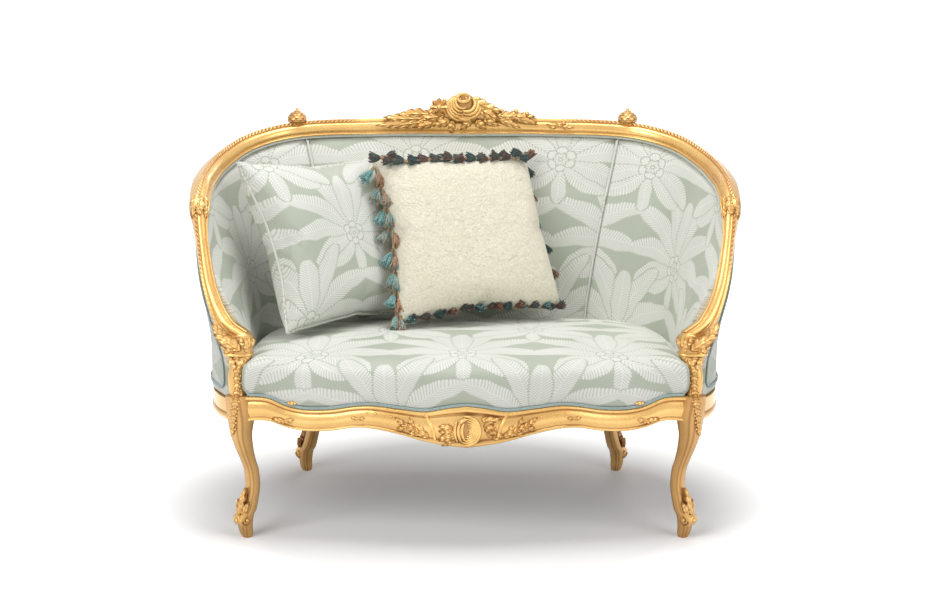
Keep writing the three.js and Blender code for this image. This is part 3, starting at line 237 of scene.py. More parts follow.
def leaf(part, root, way, normal, length, width, lobes=4, height=3.0, bend=0.0, curl=0.0, sink=3.0,
         across=10):
    """A carved leaf: a lobed outline, a raised midrib, and veins that run out to the lobes."""
    way = unit(way)
    normal = unit(np.asarray(normal, float) - way * np.dot(normal, way))
    side = np.cross(normal, way)
    t = np.linspace(0, 1, max(14, 6 * lobes) + 1)[:, None]
    v = np.linspace(-1, 1, across + 1)[None, :]
    span = np.clip(np.sin(math.pi * np.clip(t, 0.015, 0.985) ** 0.72), 0, 1) ** 0.8
    notch = 0.62 + 0.38 * np.abs(np.cos(math.pi * lobes * (t - 0.08 * np.abs(v)))) ** 0.7
    half = width / 2 * span * notch
    vein = np.cos(2 * math.pi * lobes * (t - 0.22 * np.abs(v)))
    rise = (height * np.sin(math.pi * (0.12 + 0.8 * t)) * (1 - 0.5 * v ** 2)
            + 0.3 * height * vein * np.minimum(1, 2 * np.abs(v)) + 0.35 * height * np.exp(-(v / 0.16) ** 2)
            + curl * t ** 2.5)
    middle = np.asarray(root, float) + way * (length * t)[..., None] + side * (bend * t ** 2)[..., None]
    top = middle + side * (v * half)[..., None] + normal * rise[..., None]
    floor = middle + normal * (curl * t ** 2.5 - sink)[..., None]
    base = (top - normal * (height * 0.6 + sink)) * 0.65 + floor * 0.35
    # Darker at the edges, in the vein troughs, beside the midrib and on the underside: painted shade and wax.
    recess = np.clip(0.8 * np.abs(v) ** 3 + 0.6 * (1 - vein) / 2 * np.abs(v) ** 0.5
                     + 0.6 * np.exp(-((np.abs(v) - 0.24) / 0.1) ** 2), 0, 1) + 0 * t
    loft(part, np.concatenate([top, base[:, ::-1]], 1), np.concatenate([recess, np.ones_like(recess)], 1))


def crescent(part, centre, right, up, radius, start, stop, thick, lift=0.0, count=26):
    """A tapered ridge on an arc between two angles in degrees; radius and lift may run between two."""
    t = np.linspace(0, 1, count)
    a = np.radians(start + (stop - start) * t)
    r = np.interp(t, [0, 1], np.broadcast_to(radius, 2))[:, None]
    out = unit(np.cross(right, up))
    rise = np.interp(t, [0, 1], np.broadcast_to(lift, 2))[:, None]
    path = centre + r * np.outer(np.cos(a), right) + r * np.outer(np.sin(a), up) + rise * out
    # Darker on the ridge's flanks and underside: painted shade and wax.
    round_it = np.sin(np.arange(10) * math.pi / 5)
    size = thick * (0.25 + 0.75 * np.sin(math.pi * np.clip(t, 0.02, 0.98)) ** 0.6)
    tube(part, path, size, out, 10, age=np.clip(0.45 - 0.8 * round_it, 0, 1))


def carve(part, place, leaves):
    """Leaves on a surface; place gives a point, the ways right and up along it, and the way out."""
    for x, z, degrees, length, width, lobes, height, bend in leaves:
        root, right, up, out = place(x, z)
        a = math.radians(degrees)
        leaf(part, root, right * math.cos(a) + up * math.sin(a), out, length, width, lobes, height, bend)


def rosette(part, centre, right, up, radius, petals):
    """An open flower: a ring of small leaves round a raised eye."""
    out = np.cross(right, up)
    for i in range(petals):
        a = 2 * math.pi * i / petals
        leaf(part, centre, right * math.cos(a) + up * math.sin(a), out, radius, radius * 0.95, 1,
             radius * 0.22, curl=radius * 0.12, across=6)
    ball(part, centre + out * radius * 0.3, radius * 0.26, 0.1)


# Materials
def node(tree, kind, **values):
    """A node with its own properties set."""
    n = tree.nodes.new(kind)
    for key, value in values.items():
        setattr(n, key, value)
    return n


def link(tree, value, socket):
    """Joins another node's output to a socket, or sets the socket to a value."""
    if isinstance(value, bpy.types.NodeSocket):
        tree.links.new(value, socket)
    elif value is not None:
        socket.default_value = value


def calc(tree, op, a, b=None, clamp=False):
    """A sum of one or two values or outputs."""
    n = node(tree, "ShaderNodeMath", operation=op, use_clamp=clamp)
    for socket, value in zip(n.inputs, (a, b)):
        link(tree, value, socket)
    return n.outputs[0]


MIX_A, MIX_B, MIX_RESULT = 6, 7, 2      # the colour sockets of a mix node


def mixed(tree, factor, a, b):
    """Colour a at a factor of 0 and b at 1."""
    n = node(tree, "ShaderNodeMix", data_type="RGBA")
    link(tree, factor, n.inputs["Factor"])
    for colour, socket in ((a, MIX_A), (b, MIX_B)):
        link(tree, (*colour, 1) if isinstance(colour, tuple) else colour, n.inputs[socket])
    return n.outputs[MIX_RESULT]


def noise(tree, vector, scale, detail=3.0, rough=0.55, distortion=0.0):
    """Smooth noise of 0 to 1, with so many sizes to the metre."""
    n = node(tree, "ShaderNodeTexNoise")
    values = {"Vector": vector, "Scale": scale, "Detail": detail, "Roughness": rough,
              "Distortion": distortion}
    for key, value in values.items():
        link(tree, value, n.inputs[key])
    return n.outputs[0]


def ramp(tree, value, low, high):
    """0 below low, 1 above high."""
    n = node(tree, "ShaderNodeMapRange", clamp=True)
    link(tree, value, n.inputs["Value"])
    n.inputs["From Min"].default_value = low
    n.inputs["From Max"].default_value = high
    return n.outputs[0]


def bump(tree, height, distance, strength=1.0, normal=None):
    """A normal that follows a height, over another normal or the surface's own."""
    n = node(tree, "ShaderNodeBump")
    values = {"Height": height, "Distance": distance, "Strength": strength, "Normal": normal}
    for key, value in values.items():
        link(tree, value, n.inputs[key])
    return n.outputs[0]


def split(tree, vector, axis):
    """One axis of a vector."""
    n = node(tree, "ShaderNodeSeparateXYZ")
    tree.links.new(vector, n.inputs[0])
    return n.outputs[axis]


def material(name, **constants):
    """A material, its tree, shader and object coordinate; constants are the shader's own sockets."""
    mat = bpy.data.materials.new(name)
    mat.use_nodes = True
    shader = mat.node_tree.nodes["Principled BSDF"]
    for key, value in constants.items():
        shader.inputs[key.replace("_", " ")].default_value = value
    return mat, mat.node_tree, shader, node(mat.node_tree, "ShaderNodeTexCoord").outputs["Object"]


def surface(tree, shader, colour, normal, rough=None):
    """The last links of a material."""
    for value, socket in ((colour, "Base Color"), (normal, "Normal"), (rough, "Roughness")):
        if value is not None:
            tree.links.new(value, shader.inputs[socket])


LEAF_PALE, LEAF_DEEP = srgb(230, 189, 117), srgb(210, 163, 90)
# WAX_AND_SHADE_BROWN is the brown laid in by the recess value: wax in the hollows, and painted shade.
RUBBED, WAX_AND_SHADE_BROWN = srgb(206, 150, 76), srgb(138, 86, 38)


def gilt_material():
    """Gilded wood: pale leaf over a warm size, brown wax and painted shade in the recesses, and soft
    burnishing.
    """
    mat, tree, shader, place = material("giltwood", Metallic=0.62, Specular_IOR_Level=0.6, Coat_Weight=0.3,
                                        Coat_Roughness=0.16)
    patches = noise(tree, place, 7, 3, 0.55)
    fine = noise(tree, place, 150, 4, 0.6)
    recess = node(tree, "ShaderNodeAttribute", attribute_name="recess").outputs["Fac"]
    drift = calc(tree, "MULTIPLY", calc(tree, "SUBTRACT", patches, 0.5), 0.25)
    age = calc(tree, "ADD", recess, drift, clamp=True)
    leaf_tone = mixed(tree, ramp(tree, patches, 0.3, 0.72), LEAF_PALE, LEAF_DEEP)
    rubbed = mixed(tree, calc(tree, "MULTIPLY", ramp(tree, fine, 0.45, 0.8), 0.3), leaf_tone, RUBBED)
    # Brown laid in by the recess value and the drift: wax, and painted shade in the hollows.
    waxed_and_shaded = mixed(tree, calc(tree, "MULTIPLY", ramp(tree, age, 0.2, 1.0), 0.88), rubbed, WAX_AND_SHADE_BROWN)
    rough = calc(tree, "ADD", calc(tree, "MULTIPLY", fine, 0.18), calc(tree, "MULTIPLY", age, 0.25))
    grain = bump(tree, patches, 0.002, 0.3, bump(tree, fine, 0.0004, 0.3))
    surface(tree, shader, waxed_and_shaded, grain, calc(tree, "ADD", rough, 0.2))
    return mat


def pattern_group(name, sizes, draw):
    """A group that lays one motif over what is under it; draw gives the motif and its cover."""
    group = bpy.data.node_groups.new(name, "ShaderNodeTree")
    for word in ("X", "Y", "CX", "CY", "Repeat", "Under", *sizes):
        group.interface.new_socket(name=word, in_out="INPUT", socket_type="NodeSocketFloat")
    group.interface.new_socket(name="Value", in_out="OUTPUT", socket_type="NodeSocketFloat")
    g = node(group, "NodeGroupInput").outputs

    def c(op, a, b=None, clamp=False):
        """A sum inside this group."""
        return calc(group, op, a, b, clamp)

    dx = c("SUBTRACT", g["X"], g["CX"])
    dy = c("SUBTRACT", g["Y"], g["CY"])
    dy = c("SUBTRACT", dy, c("MULTIPLY", c("ROUND", c("DIVIDE", dy, g["Repeat"])), g["Repeat"]))
    motif, cover = draw(c, g, dx, dy)
    kept = c("MULTIPLY", g["Under"], c("SUBTRACT", 1.0, cover))
    group.links.new(c("MAXIMUM", motif, kept), node(group, "NodeGroupOutput").inputs[0])
    return group


def draw_leaf(c, g, dx, dy):
    """A plume: toothed leaflets off a bent midrib."""
    s = c("ADD", c("MULTIPLY", dx, g["Cos"]), c("MULTIPLY", dy, g["Sin"]))
    t = c("SUBTRACT", c("MULTIPLY", dy, g["Cos"]), c("MULTIPLY", dx, g["Sin"]))
    share = c("DIVIDE", s, g["Length"])
    a = c("ABSOLUTE", c("SUBTRACT", t, c("MULTIPLY", g["Bend"], c("MULTIPLY", share, share))))
    q = c("SUBTRACT", s, c("MULTIPLY", a, 0.7))
    along = c("DIVIDE", q, g["Length"])
    bow = c("MULTIPLY", c("MULTIPLY", along, c("SUBTRACT", 1.0, along)), 4.0)
    form = c("POWER", c("MAXIMUM", bow, 0.0), 0.6)
    tooth = c("PINGPONG", c("DIVIDE", q, g["Pitch"]), 0.5)
    size = c("MULTIPLY", c("MULTIPLY", g["Half"], form), c("ADD", 0.84, c("MULTIPLY", tooth, 0.32)))
    inside = c("MULTIPLY", c("SUBTRACT", size, a), 0.8, True)
    stripe = c("ADD", 0.25, c("MULTIPLY", tooth, 2.4), True)
    rib = c("MULTIPLY", c("SUBTRACT", 1.8, a), 1.2, True)
    edge = c("MULTIPLY", c("SUBTRACT", c("ADD", size, 2.4), a), c("MULTIPLY", form, 4.0), True)
    return c("MULTIPLY", inside, c("MAXIMUM", stripe, rib)), edge


def draw_flower(c, g, dx, dy):
    """A stylised flower head: two rings of petals, hatched from the eye outwards."""
    r = c("SQRT", c("ADD", c("MULTIPLY", dx, dx), c("MULTIPLY", dy, dy)))
    angle = c("ARCTAN2", dx, dy)
    half_turn = c("MULTIPLY", angle, c("MULTIPLY", g["Petals"], 0.5))
    petal = c("ABSOLUTE", c("COSINE", half_turn))
    between = c("ABSOLUTE", c("SINE", half_turn))
    outer = c("MULTIPLY", g["Radius"], c("ADD", 0.68, c("MULTIPLY", c("POWER", petal, 0.6), 0.32)))
    inner = c("MULTIPLY", g["Radius"], c("ADD", 0.3, c("MULTIPLY", c("POWER", between, 0.6), 0.26)))
    rays = c("ABSOLUTE", c("SINE", c("MULTIPLY", angle, c("MULTIPLY", g["Petals"], 2.0))))
    hatch = c("ADD", 0.4, c("MULTIPLY", rays, 1.2), True)
    gap = c("SUBTRACT", c("ABSOLUTE", c("SUBTRACT", r, inner)), 1.2)
    seam = c("MULTIPLY", c("SUBTRACT", petal, 0.12), 8.0, True)
    core = c("SUBTRACT", r, c("MULTIPLY", g["Radius"], 0.16))
    eye = c("SUBTRACT", c("MULTIPLY", g["Radius"], 0.11), r)
    whole = c("MULTIPLY", c("SUBTRACT", outer, r), 0.8, True)
    lines = c("MULTIPLY", c("MULTIPLY", whole, hatch), c("MULTIPLY", c("MAXIMUM", gap, 0.0), 1.0, True))
    motif = c("MAXIMUM", c("MULTIPLY", lines, c("MINIMUM", seam, c("MAXIMUM", core, 0.0), True)), eye)
    return motif, c("SUBTRACT", c("ADD", outer, 3.0), r, True)


REPEAT_X, REPEAT_Y = 340.0, 440.0
# The fountain of plumes that the damask repeats, right half only, its base at the origin; each in turn
# lies over those before it. Leaves: root x and y, direction in degrees, length, half width, bend.
FOUNTAIN = [
    (0, -4, -90, 104, 19, 0), (3, -5, -50, 122, 24, 34), (6, 0, -8, 144, 27, -42), (6, 10, 24, 160, 31, -62),
    (5, 16, 54, 186, 32, -76), (3, 22, 78, 194, 29, -52), (0, 24, 90, 150, 27, 0),
]
FLOWER = (0, 8, 32, 6)                  # at the base: x and y, radius, petals
# The fountain stands at the left edge, and its mirror image at the right edge half a repeat up.
PLUMES = FOUNTAIN + [(REPEAT_X / 2 - x, REPEAT_Y / 2 + y, 180 - a, length, half, -bend)
                     for x, y, a, length, half, bend in FOUNTAIN]
BLOOMS = [FLOWER, (REPEAT_X / 2 - FLOWER[0], REPEAT_Y / 2 + FLOWER[1], *FLOWER[2:])]
LEAFLET_PITCH = 6.4
DRIFT_SCALE, DRIFT_REACH = 0.02, (14, 14, 0)    # the figure wanders, as cloth that is pulled tight does
WEFT_PITCH, WARP_PITCH = 6.2, 7.4               # threads, in radians to the millimetre
GROUND_DARK, GROUND_LIGHT = srgb(170, 177, 161), srgb(182, 188, 173)
FIGURE_DARK, FIGURE_LIGHT = srgb(216, 217, 210), srgb(226, 226, 220)


def cloth_millimetres(tree):
    """The cloth coordinate in millimetres, and the same with a slow drift."""
    scaled = node(tree, "ShaderNodeVectorMath", operation="SCALE")
    tree.links.new(node(tree, "ShaderNodeUVMap", uv_map="cloth").outputs[0], scaled.inputs[0])
    scaled.inputs["Scale"].default_value = 1 / MM
    drift = node(tree, "ShaderNodeTexNoise")
    shift = node(tree, "ShaderNodeVectorMath", operation="MULTIPLY_ADD")
    for value, socket in ((scaled.outputs[0], drift.inputs["Vector"]), (DRIFT_SCALE, drift.inputs["Scale"]),
                          (1, drift.inputs["Detail"]), (drift.outputs[1], shift.inputs[0]),
                          (DRIFT_REACH, shift.inputs[1]), (scaled.outputs[0], shift.inputs[2])):
        link(tree, value, socket)
    return scaled.outputs[0], shift.outputs[0]


def damask_figure(tree, place):
    """The whole figure, 0 on the ground and 1 on the motifs; place is in millimetres."""
    plume = pattern_group("damask plume", ("Cos", "Sin", "Length", "Half", "Bend", "Pitch"), draw_leaf)
    bloom = pattern_group("damask bloom", ("Radius", "Petals"), draw_flower)
    motifs = []
    for cx, cy, degrees, length, half, bend in PLUMES:
        a = math.radians(degrees)
        motifs.append((plume, dict(CX=cx, CY=cy, Cos=math.cos(a), Sin=math.sin(a), Length=length, Half=half,
                                   Bend=bend, Pitch=LEAFLET_PITCH)))
    motifs += [(bloom, dict(CX=cx, CY=cy, Radius=radius, Petals=petals)) for cx, cy, radius, petals in BLOOMS]
    shared = dict(X=calc(tree, "PINGPONG", split(tree, place, "X"), REPEAT_X / 2), Y=split(tree, place, "Y"),
                  Repeat=REPEAT_Y)
    figure = 0.0
    for group, sizes in motifs:
        laid = node(tree, "ShaderNodeGroup", node_tree=group)
        for key, value in {**shared, **sizes, "Under": figure}.items():
            link(tree, value, laid.inputs[key])
        figure = laid.outputs[0]
    return figure


def damask_material():
    """Satin ground with a matt, hatched, mirrored leaf figure, drawn over the cloth coordinate."""
    mat, tree, shader, place = material("damask", Specular_IOR_Level=0.3, Sheen_Weight=0.15,
                                        Sheen_Roughness=0.4)
    even, drifting = cloth_millimetres(tree)
    figure = damask_figure(tree, drifting)
    weft, warp = (calc(tree, "SINE", calc(tree, "MULTIPLY", split(tree, even, axis), pitch))
                  for axis, pitch in (("X", WEFT_PITCH), ("Y", WARP_PITCH)))
    tone = ramp(tree, noise(tree, place, 5, 2, 0.5), 0.3, 0.7)
    ground = mixed(tree, tone, GROUND_DARK, GROUND_LIGHT)
    colour = mixed(tree, figure, ground, mixed(tree, tone, FIGURE_DARK, FIGURE_LIGHT))
    soft = bump(tree, noise(tree, place, 22, 2, 0.5), 0.004, 0.25)
    figured = bump(tree, figure, 0.0005, 0.6, soft)
    woven = bump(tree, calc(tree, "MULTIPLY", weft, warp), 0.00012, 0.5, figured)
    surface(tree, shader, colour, woven, calc(tree, "ADD", 0.45, calc(tree, "MULTIPLY", figure, 0.25)))
    return mat


PLY_TURNS, PLY_SLANT = 2100, 1500       # radians to the metre along a cord and round it


def gimp_material(name, light, dark, sheen):
    """Twisted silk cord: slanting plies over the run of the cloth coordinate."""
    mat, tree, shader, place = material(name, Roughness=0.62, Sheen_Weight=0.3)
    cloth = node(tree, "ShaderNodeUVMap", uv_map="cloth").outputs[0]
    turns = calc(tree, "MULTIPLY", split(tree, cloth, "X"), PLY_TURNS)
    slant = calc(tree, "MULTIPLY", split(tree, cloth, "Y"), PLY_SLANT)
    # The narrow darker lines between the plies are painted shade.
    ply = ramp(tree, calc(tree, "SINE", calc(tree, "ADD", turns, slant)), -0.8, 0.5)
    fuzz = calc(tree, "MULTIPLY", noise(tree, place, 900, 2), 0.4)
    colour = mixed(tree, fuzz, mixed(tree, ply, srgb(*dark), srgb(*light)), srgb(*sheen))
    surface(tree, shader, colour, bump(tree, ply, 0.0006, 0.8))
    return mat


def pile_material():
    """Short cream pile: soft tufts with a warm shade between them."""
    mat, tree, shader, place = material("cream pile", Roughness=0.9, Sheen_Weight=0.35, Sheen_Roughness=0.5)
    tuft = noise(tree, place, 210, 4, 0.65)
    lay = noise(tree, place, 34, 4, 0.6, 0.8)
    base = mixed(tree, ramp(tree, tuft, 0.32, 0.6), srgb(212, 204, 178), srgb(238, 233, 214))
    colour = mixed(tree, calc(tree, "MULTIPLY", ramp(tree, lay, 0.4, 0.7), 0.5), base, srgb(226, 219, 196))
    surface(tree, shader, colour, bump(tree, lay, 0.008, 0.8, bump(tree, tuft, 0.004, 1.0)))
    return mat


def thread_material(name, dark, light):
    """Silky tassel thread, with darker and lighter strands."""
    mat, tree, shader, place = material(name, Roughness=0.5, Sheen_Weight=0.3)
    strand = noise(tree, place, 300, 2, 0.5)
    colour = mixed(tree, ramp(tree, strand, 0.35, 0.65), srgb(*dark), srgb(*light))
    surface(tree, shader, colour, bump(tree, strand, 0.0005, 0.5))
    return mat


def plain_weave(name, dark, light, scale):
    """Coarse plain cloth with slubs; scale is its threads in radians to the metre."""
    mat, tree, shader, place = material(name, Roughness=0.85)
    threads = [calc(tree, "SINE", calc(tree, "MULTIPLY", split(tree, place, axis), scale)) for axis in "XY"]
    weave = ramp(tree, calc(tree, "MULTIPLY", *threads), -0.6, 0.6)
    tone = calc(tree, "MULTIPLY", calc(tree, "ADD", weave, noise(tree, place, 60, 3)), 0.5)
    surface(tree, shader, mixed(tree, tone, srgb(*dark), srgb(*light)), bump(tree, weave, 0.0006, 0.8))
    return mat


def beech_material():
    """Plain beech with its grain drawn out along X."""
    mat, tree, shader, place = material("beech", Roughness=0.65)
    stretch = node(tree, "ShaderNodeMapping")
    stretch.inputs["Scale"].default_value = (1.5, 14, 14)
    tree.links.new(place, stretch.inputs["Vector"])
    grain = noise(tree, stretch.outputs[0], 12, 5, 0.6, 0.6)
    colour = mixed(tree, ramp(tree, grain, 0.3, 0.7), srgb(186, 148, 104), srgb(212, 178, 134))
    surface(tree, shader, colour, bump(tree, grain, 0.0004, 0.4))
    return mat


def steel_material():
    """Drawn spring wire with spots of rust."""
    mat, tree, shader, place = material("spring steel", Metallic=0.9)
    spots = noise(tree, place, 180, 4, 0.6)
    colour = mixed(tree, ramp(tree, spots, 0.5, 0.72), srgb(120, 118, 114), srgb(92, 74, 58))
    surface(tree, shader, colour, None, calc(tree, "ADD", 0.3, calc(tree, "MULTIPLY", spots, 0.35)))
    return mat


gilt = gilt_material()
damask = damask_material()
gimp = gimp_material("gimp", (176, 198, 196), (124, 154, 156), (206, 217, 213))
edging = gimp_material("edging", (196, 203, 190), (160, 168, 154), (208, 213, 203))
fringe_cord = gimp_material("fringe cord", (216, 204, 176), (168, 146, 112), (226, 218, 196))
pile = pile_material()
jute = plain_weave("jute", (120, 92, 56), (178, 148, 100), 1400)
cambric = plain_weave("cambric", (24, 24, 25), (52, 52, 54), 2600)
beech = beech_material()
steel = steel_material()
THREADS = {
    "copper": thread_material("copper thread", (104, 66, 42), (196, 150, 112)),
    "teal": thread_material("teal thread", (58, 110, 112), (146, 190, 184)),
    "brown": thread_material("brown thread", (34, 18, 16), (104, 62, 42)),
    "green": thread_material("green thread", (10, 28, 28), (40, 78, 74)),
    "knot": thread_material("knot thread", (110, 82, 50), (196, 164, 118)),
}

# The moulded line of top rail and arms: its places from the centre round to the arm's scroll, as shares
# of the widest half width, the setback and the height, with the way it faces and its size at each.
ARM_X, BACK_Y, RAIL_Z, RAIL_FACE, RAIL_DEPTH = 629, 575, 915, 41, 36
RIGHT_LINE_SHARES = np.array([
    [0.318, 1.0, 1.0], [0.695, 0.985, 0.988], [0.863, 0.868, 0.962], [0.954, 0.698, 0.926],
    [0.993, 0.505, 0.896], [1.0, 0.365, 0.873], [0.997, 0.255, 0.832], [0.983, 0.19, 0.755],
    [0.947, 0.118, 0.632], [0.888, 0.065, 0.554], [0.815, 0.035, 0.522]])
FACINGS = np.array([
    [0, -1, 0.1], [0, -1, 0.1], [-0.3, -0.9, 0.2], [-0.55, -0.75, 0.35], [-0.7, -0.55, 0.5],
    [-0.75, -0.45, 0.5], [-0.7, -0.6, 0.4], [-0.45, -0.85, 0.15], [-0.3, -0.95, 0.05],
    [-0.2, -0.98, 0], [-0.1, -0.99, 0], [0, -1, 0]])
SIZE_SHARES = np.array([1, 1, 1, 1.03, 1.05, 1.05, 1, 0.9, 0.66, 0.78, 0.95, 0.8])
LAST, KNUCKLE = 11, 7                   # the places of the scroll and of the arm's knuckle
right_line = RIGHT_LINE_SHARES * [ARM_X, BACK_Y, RAIL_Z]
rail_line = curve(np.concatenate([right_line[::-1] * [-1, 1, 1], [[0, BACK_Y, RAIL_Z]], right_line]))


def line_frame(k):
    """Place, tangent, outward face and up of the moulded line; k counts its places from the centre."""
    a = min(abs(k), float(LAST))
    i = min(int(a), LAST - 1)
    w = a - i
    facing = FACINGS[i] * (1 - w) + FACINGS[i + 1] * w
    if k < 0:
        facing = facing * [-1, 1, 1]
    t = 0.5 + k / (2 * LAST)
    way = tangent(rail_line, t)
    face = unit(facing - way * facing.dot(way))
    size = SIZE_SHARES[i] * (1 - w) + SIZE_SHARES[i + 1] * w
    return rail_line(t), way, face, np.cross(face, way), size


def on_rail(k, depth, height):
    """A point of the rail's section: shares of its depth towards the sitter and of its height."""
    o, _, face, up, size = line_frame(k)
    return o + face * (size * depth * RAIL_DEPTH) + up * (size * height * RAIL_FACE)


def arc(cx, cy, rx, ry, a0, a1, n):
    """Points on an ellipse between two angles in degrees."""
    a = np.radians(np.linspace(a0, a1, n))
    return np.stack([cx + rx * np.cos(a), cy + ry * np.sin(a)], 1)


# Section of the moulding: bead, broad torus, quirk and carved band. Depth and height shares.
SECTION_SHARES = np.concatenate([
    [[-0.5, -0.42], [-0.47, -0.47], [-0.3, -0.485], [0.0, -0.49], [0.28, -0.5]],
    arc(0.38, -0.445, 0.075, 0.055, -90, 75, 7),
    [[0.385, -0.375], [0.375, -0.355]],
    arc(0.33, -0.04, 0.195, 0.3, -76, 72, 16),
    [[0.41, 0.262], [0.4, 0.278], [0.42, 0.3]],
    np.stack([np.linspace(0.425, 0.36, 9), np.linspace(0.31, 0.455, 9)], 1),
    [[0.33, 0.48], [0.27, 0.49], [0.1, 0.5], [-0.15, 0.5], [-0.3, 0.5], [-0.43, 0.49], [-0.48, 0.45],
     [-0.5, 0.3], [-0.5, 0.0], [-0.5, -0.22]],
])
section_depth, section_height = SECTION_SHARES.T
on_face = section_depth > 0.3
BAND = smooth(section_height, 0.29, 0.32) * (1 - smooth(section_height, 0.46, 0.485)) * on_face
QUIRK = np.clip(sum(np.exp(-((section_height - z) / 0.022) ** 2) for z in (0.28, -0.365)) * on_face, 0, 1)
HUSK_PITCH, HUSK_RELIEF, KNUCKLE_SWELL, MOULDED_STEP = 11.0, 2.4, 0.1, 2.4


def moulded(part, k0, k1):
    """The moulding between two places, its outer band carved with husks and its knuckle swollen."""
    rough = np.linspace(k0, k1, 160)
    d = run_length(np.array([rail_line(0.5 + k / (2 * LAST)) for k in rough]))
    s = np.linspace(0, d[-1], int(d[-1] / MOULDED_STEP))
    back = np.roll(SECTION_SHARES, 1, 0) - np.roll(SECTION_SHARES, -1, 0)
    outward = unit(np.stack([back[:, 1] * RAIL_FACE, -back[:, 0] * RAIL_DEPTH], 1))
    if ((SECTION_SHARES - SECTION_SHARES.mean(0)) * outward).sum() < 0:
        outward = -outward
    up_band = (section_height - 0.3) / 0.16
    rings, wax_and_shade_values = [], []
    for k, along in zip(np.interp(s, d, rough), s):
        o, _, face, up, size = line_frame(k)
        a = abs(k)
        swell = 1 - smooth(abs(a - KNUCKLE), 0, 0.55)
        size = size * (1 + KNUCKLE_SWELL * swell)
        band = BAND * (1 - swell) * smooth(a, 1.1, 1.5) * (1 - 0.7 * smooth(a, 8.2, 8.8))
        husk = np.abs(np.sin(math.pi * (along / HUSK_PITCH + 0.55 * up_band)))
        relief = band * (HUSK_RELIEF * husk ** 0.7 - HUSK_RELIEF / 2)
        # Painted shade and wax: darker in the quirks, between the husks, over the whole carved band and round
        # the knuckle.
        age = QUIRK * 0.8 + band * (1 - husk ** 1.4) * 1.1 + band * 0.4 + 0.25 * swell
        wax_and_shade_values.append(np.clip(age, 0, 1))
        p = (SECTION_SHARES * [size * RAIL_DEPTH, size * RAIL_FACE]) + outward * relief[:, None]
        rings.append(o + face * p[:, :1] + up * p[:, 1:])
    loft(part, np.array(rings), np.array(wax_and_shade_values))


# Crest: the outline of its carved mass, and the leaves on its face, each with its root's x and z,
# direction in degrees, length, width, lobes, height and bend.
CREST_FACE, CREST_FOOT, CREST_MIDDLE_Y, CREST_THICK, CREST_SIDES = 556.5, 924.0, 573.0, 15.0, 24
CREST_TOP = np.array([
    [-185, 938], [-161, 944], [-135, 950], [-104, 950], [-81, 963], [-68, 978], [-45, 978], [-19, 990],
    [2, 996], [25, 993], [32, 984], [59, 980], [74, 966], [92, 952], [115, 950], [136, 952], [149, 949],
    [175, 944], [192, 938]])
CREST_LEAVES = [
    (-112, 927, 186, 112, 26, 5, 4, -4), (-96, 930, 192, 84, 28, 4, 5, -8),
    (-92, 938, 184, 112, 34, 5, 6, -10),
    (-84, 948, 174, 88, 30, 4, 6, 14), (-66, 932, 204, 60, 24, 3, 6, -6), (-46, 946, 194, 66, 28, 3, 7, -8),
    (-34, 936, 216, 46, 28, 3, 7, -10), (-24, 932, 250, 34, 22, 3, 6, 6), (20, 936, 240, 38, 24, 3, 7, -8),
    (36, 934, 300, 36, 26, 3, 7, 10), (54, 938, 324, 46, 22, 3, 6, 8), (95, 934, -18, 60, 22, 3, 5, -4),
    (88, 944, -4, 72, 28, 4, 6, 8), (112, 946, -10, 76, 24, 4, 5, 10), (136, 938, -10, 60, 20, 3, 4, -6),
    (42, 962, -22, 60, 34, 3, 8, -12), (28, 990, -48, 56, 34, 3, 8, 16), (50, 976, -36, 56, 26, 3, 8, 12),
    (252, 918, 168, 36, 15, 3, 4, 4), (248, 917, 196, 28, 12, 2, 4, -4), (250, 918, -14, 38, 14, 3, 4, 4),
    (250, 919, 30, 20, 10, 2, 4, 0),
]
CREST_BEADS = [(138, 956, 6), (166, 950, 6), (102, 958, 5), (250, 918, 4), (-46, 984, 5)]
# Small open flower: place, and for each of its two rings the depth in from the face, radius and petals.
CREST_FLOWER, CREST_FLOWER_RINGS = (-60, 966.0), [(3, 24, 8), (8, 15, 6)]
# The rose: a rolled heart, and petals wrapped round it from the left and the right. Each has its shift
# right and down from the heart, radius, start and stop in degrees, thickness and lift.
ROSE = np.array([3.0, CREST_FACE, 990.0])
ROSE_TILT = 0.94
PETALS = [
    (-2, 9, 19, 112, 292, 4.6, (13, 11)), (-4, 13, 23, 112, 288, 4.6, (11, 9)),
    (-6, 17, 27, 116, 284, 4.6, (9, 7)), (-7, 21, 31, 120, 282, 4.8, (7, 5)),
    (-7, 25, 35, 126, 280, 5.0, (5, 3)), (8, 15, 21, 238, 410, 5.2, (14, 11)),
    (12, 20, 24, 232, 400, 5.4, (11, 8)), (14, 26, 27, 226, 388, 5.6, (7, 4)),
    (4, 34, 24, 200, 340, 5.4, (6, 5)),
]


def crest_place(x, z):
    """A point on the crest's face, with the ways right, up and out."""
    return np.array([x, CREST_FACE, z]), RIGHT, UP, FORWARD


def crest_mass(part):
    """The solid that the crest's leaves are carved on, under its outline."""
    x = np.linspace(CREST_TOP[0, 0], CREST_TOP[-1, 0], 120)
    around = squircle(1, 1, 0, CREST_SIDES)
    rings = []
    for a, top in zip(x, np.interp(x, *CREST_TOP.T)):
        y = CREST_MIDDLE_Y + around[:, 0] * CREST_THICK
        z = (CREST_FOOT + top) / 2 + around[:, 1] * (top - CREST_FOOT) / 2
        rings.append(np.c_[np.full(CREST_SIDES, a), y, z])
    # The whole mass is darkened as painted shade behind the carving.
    loft(part, rings[::-1], 0.35)


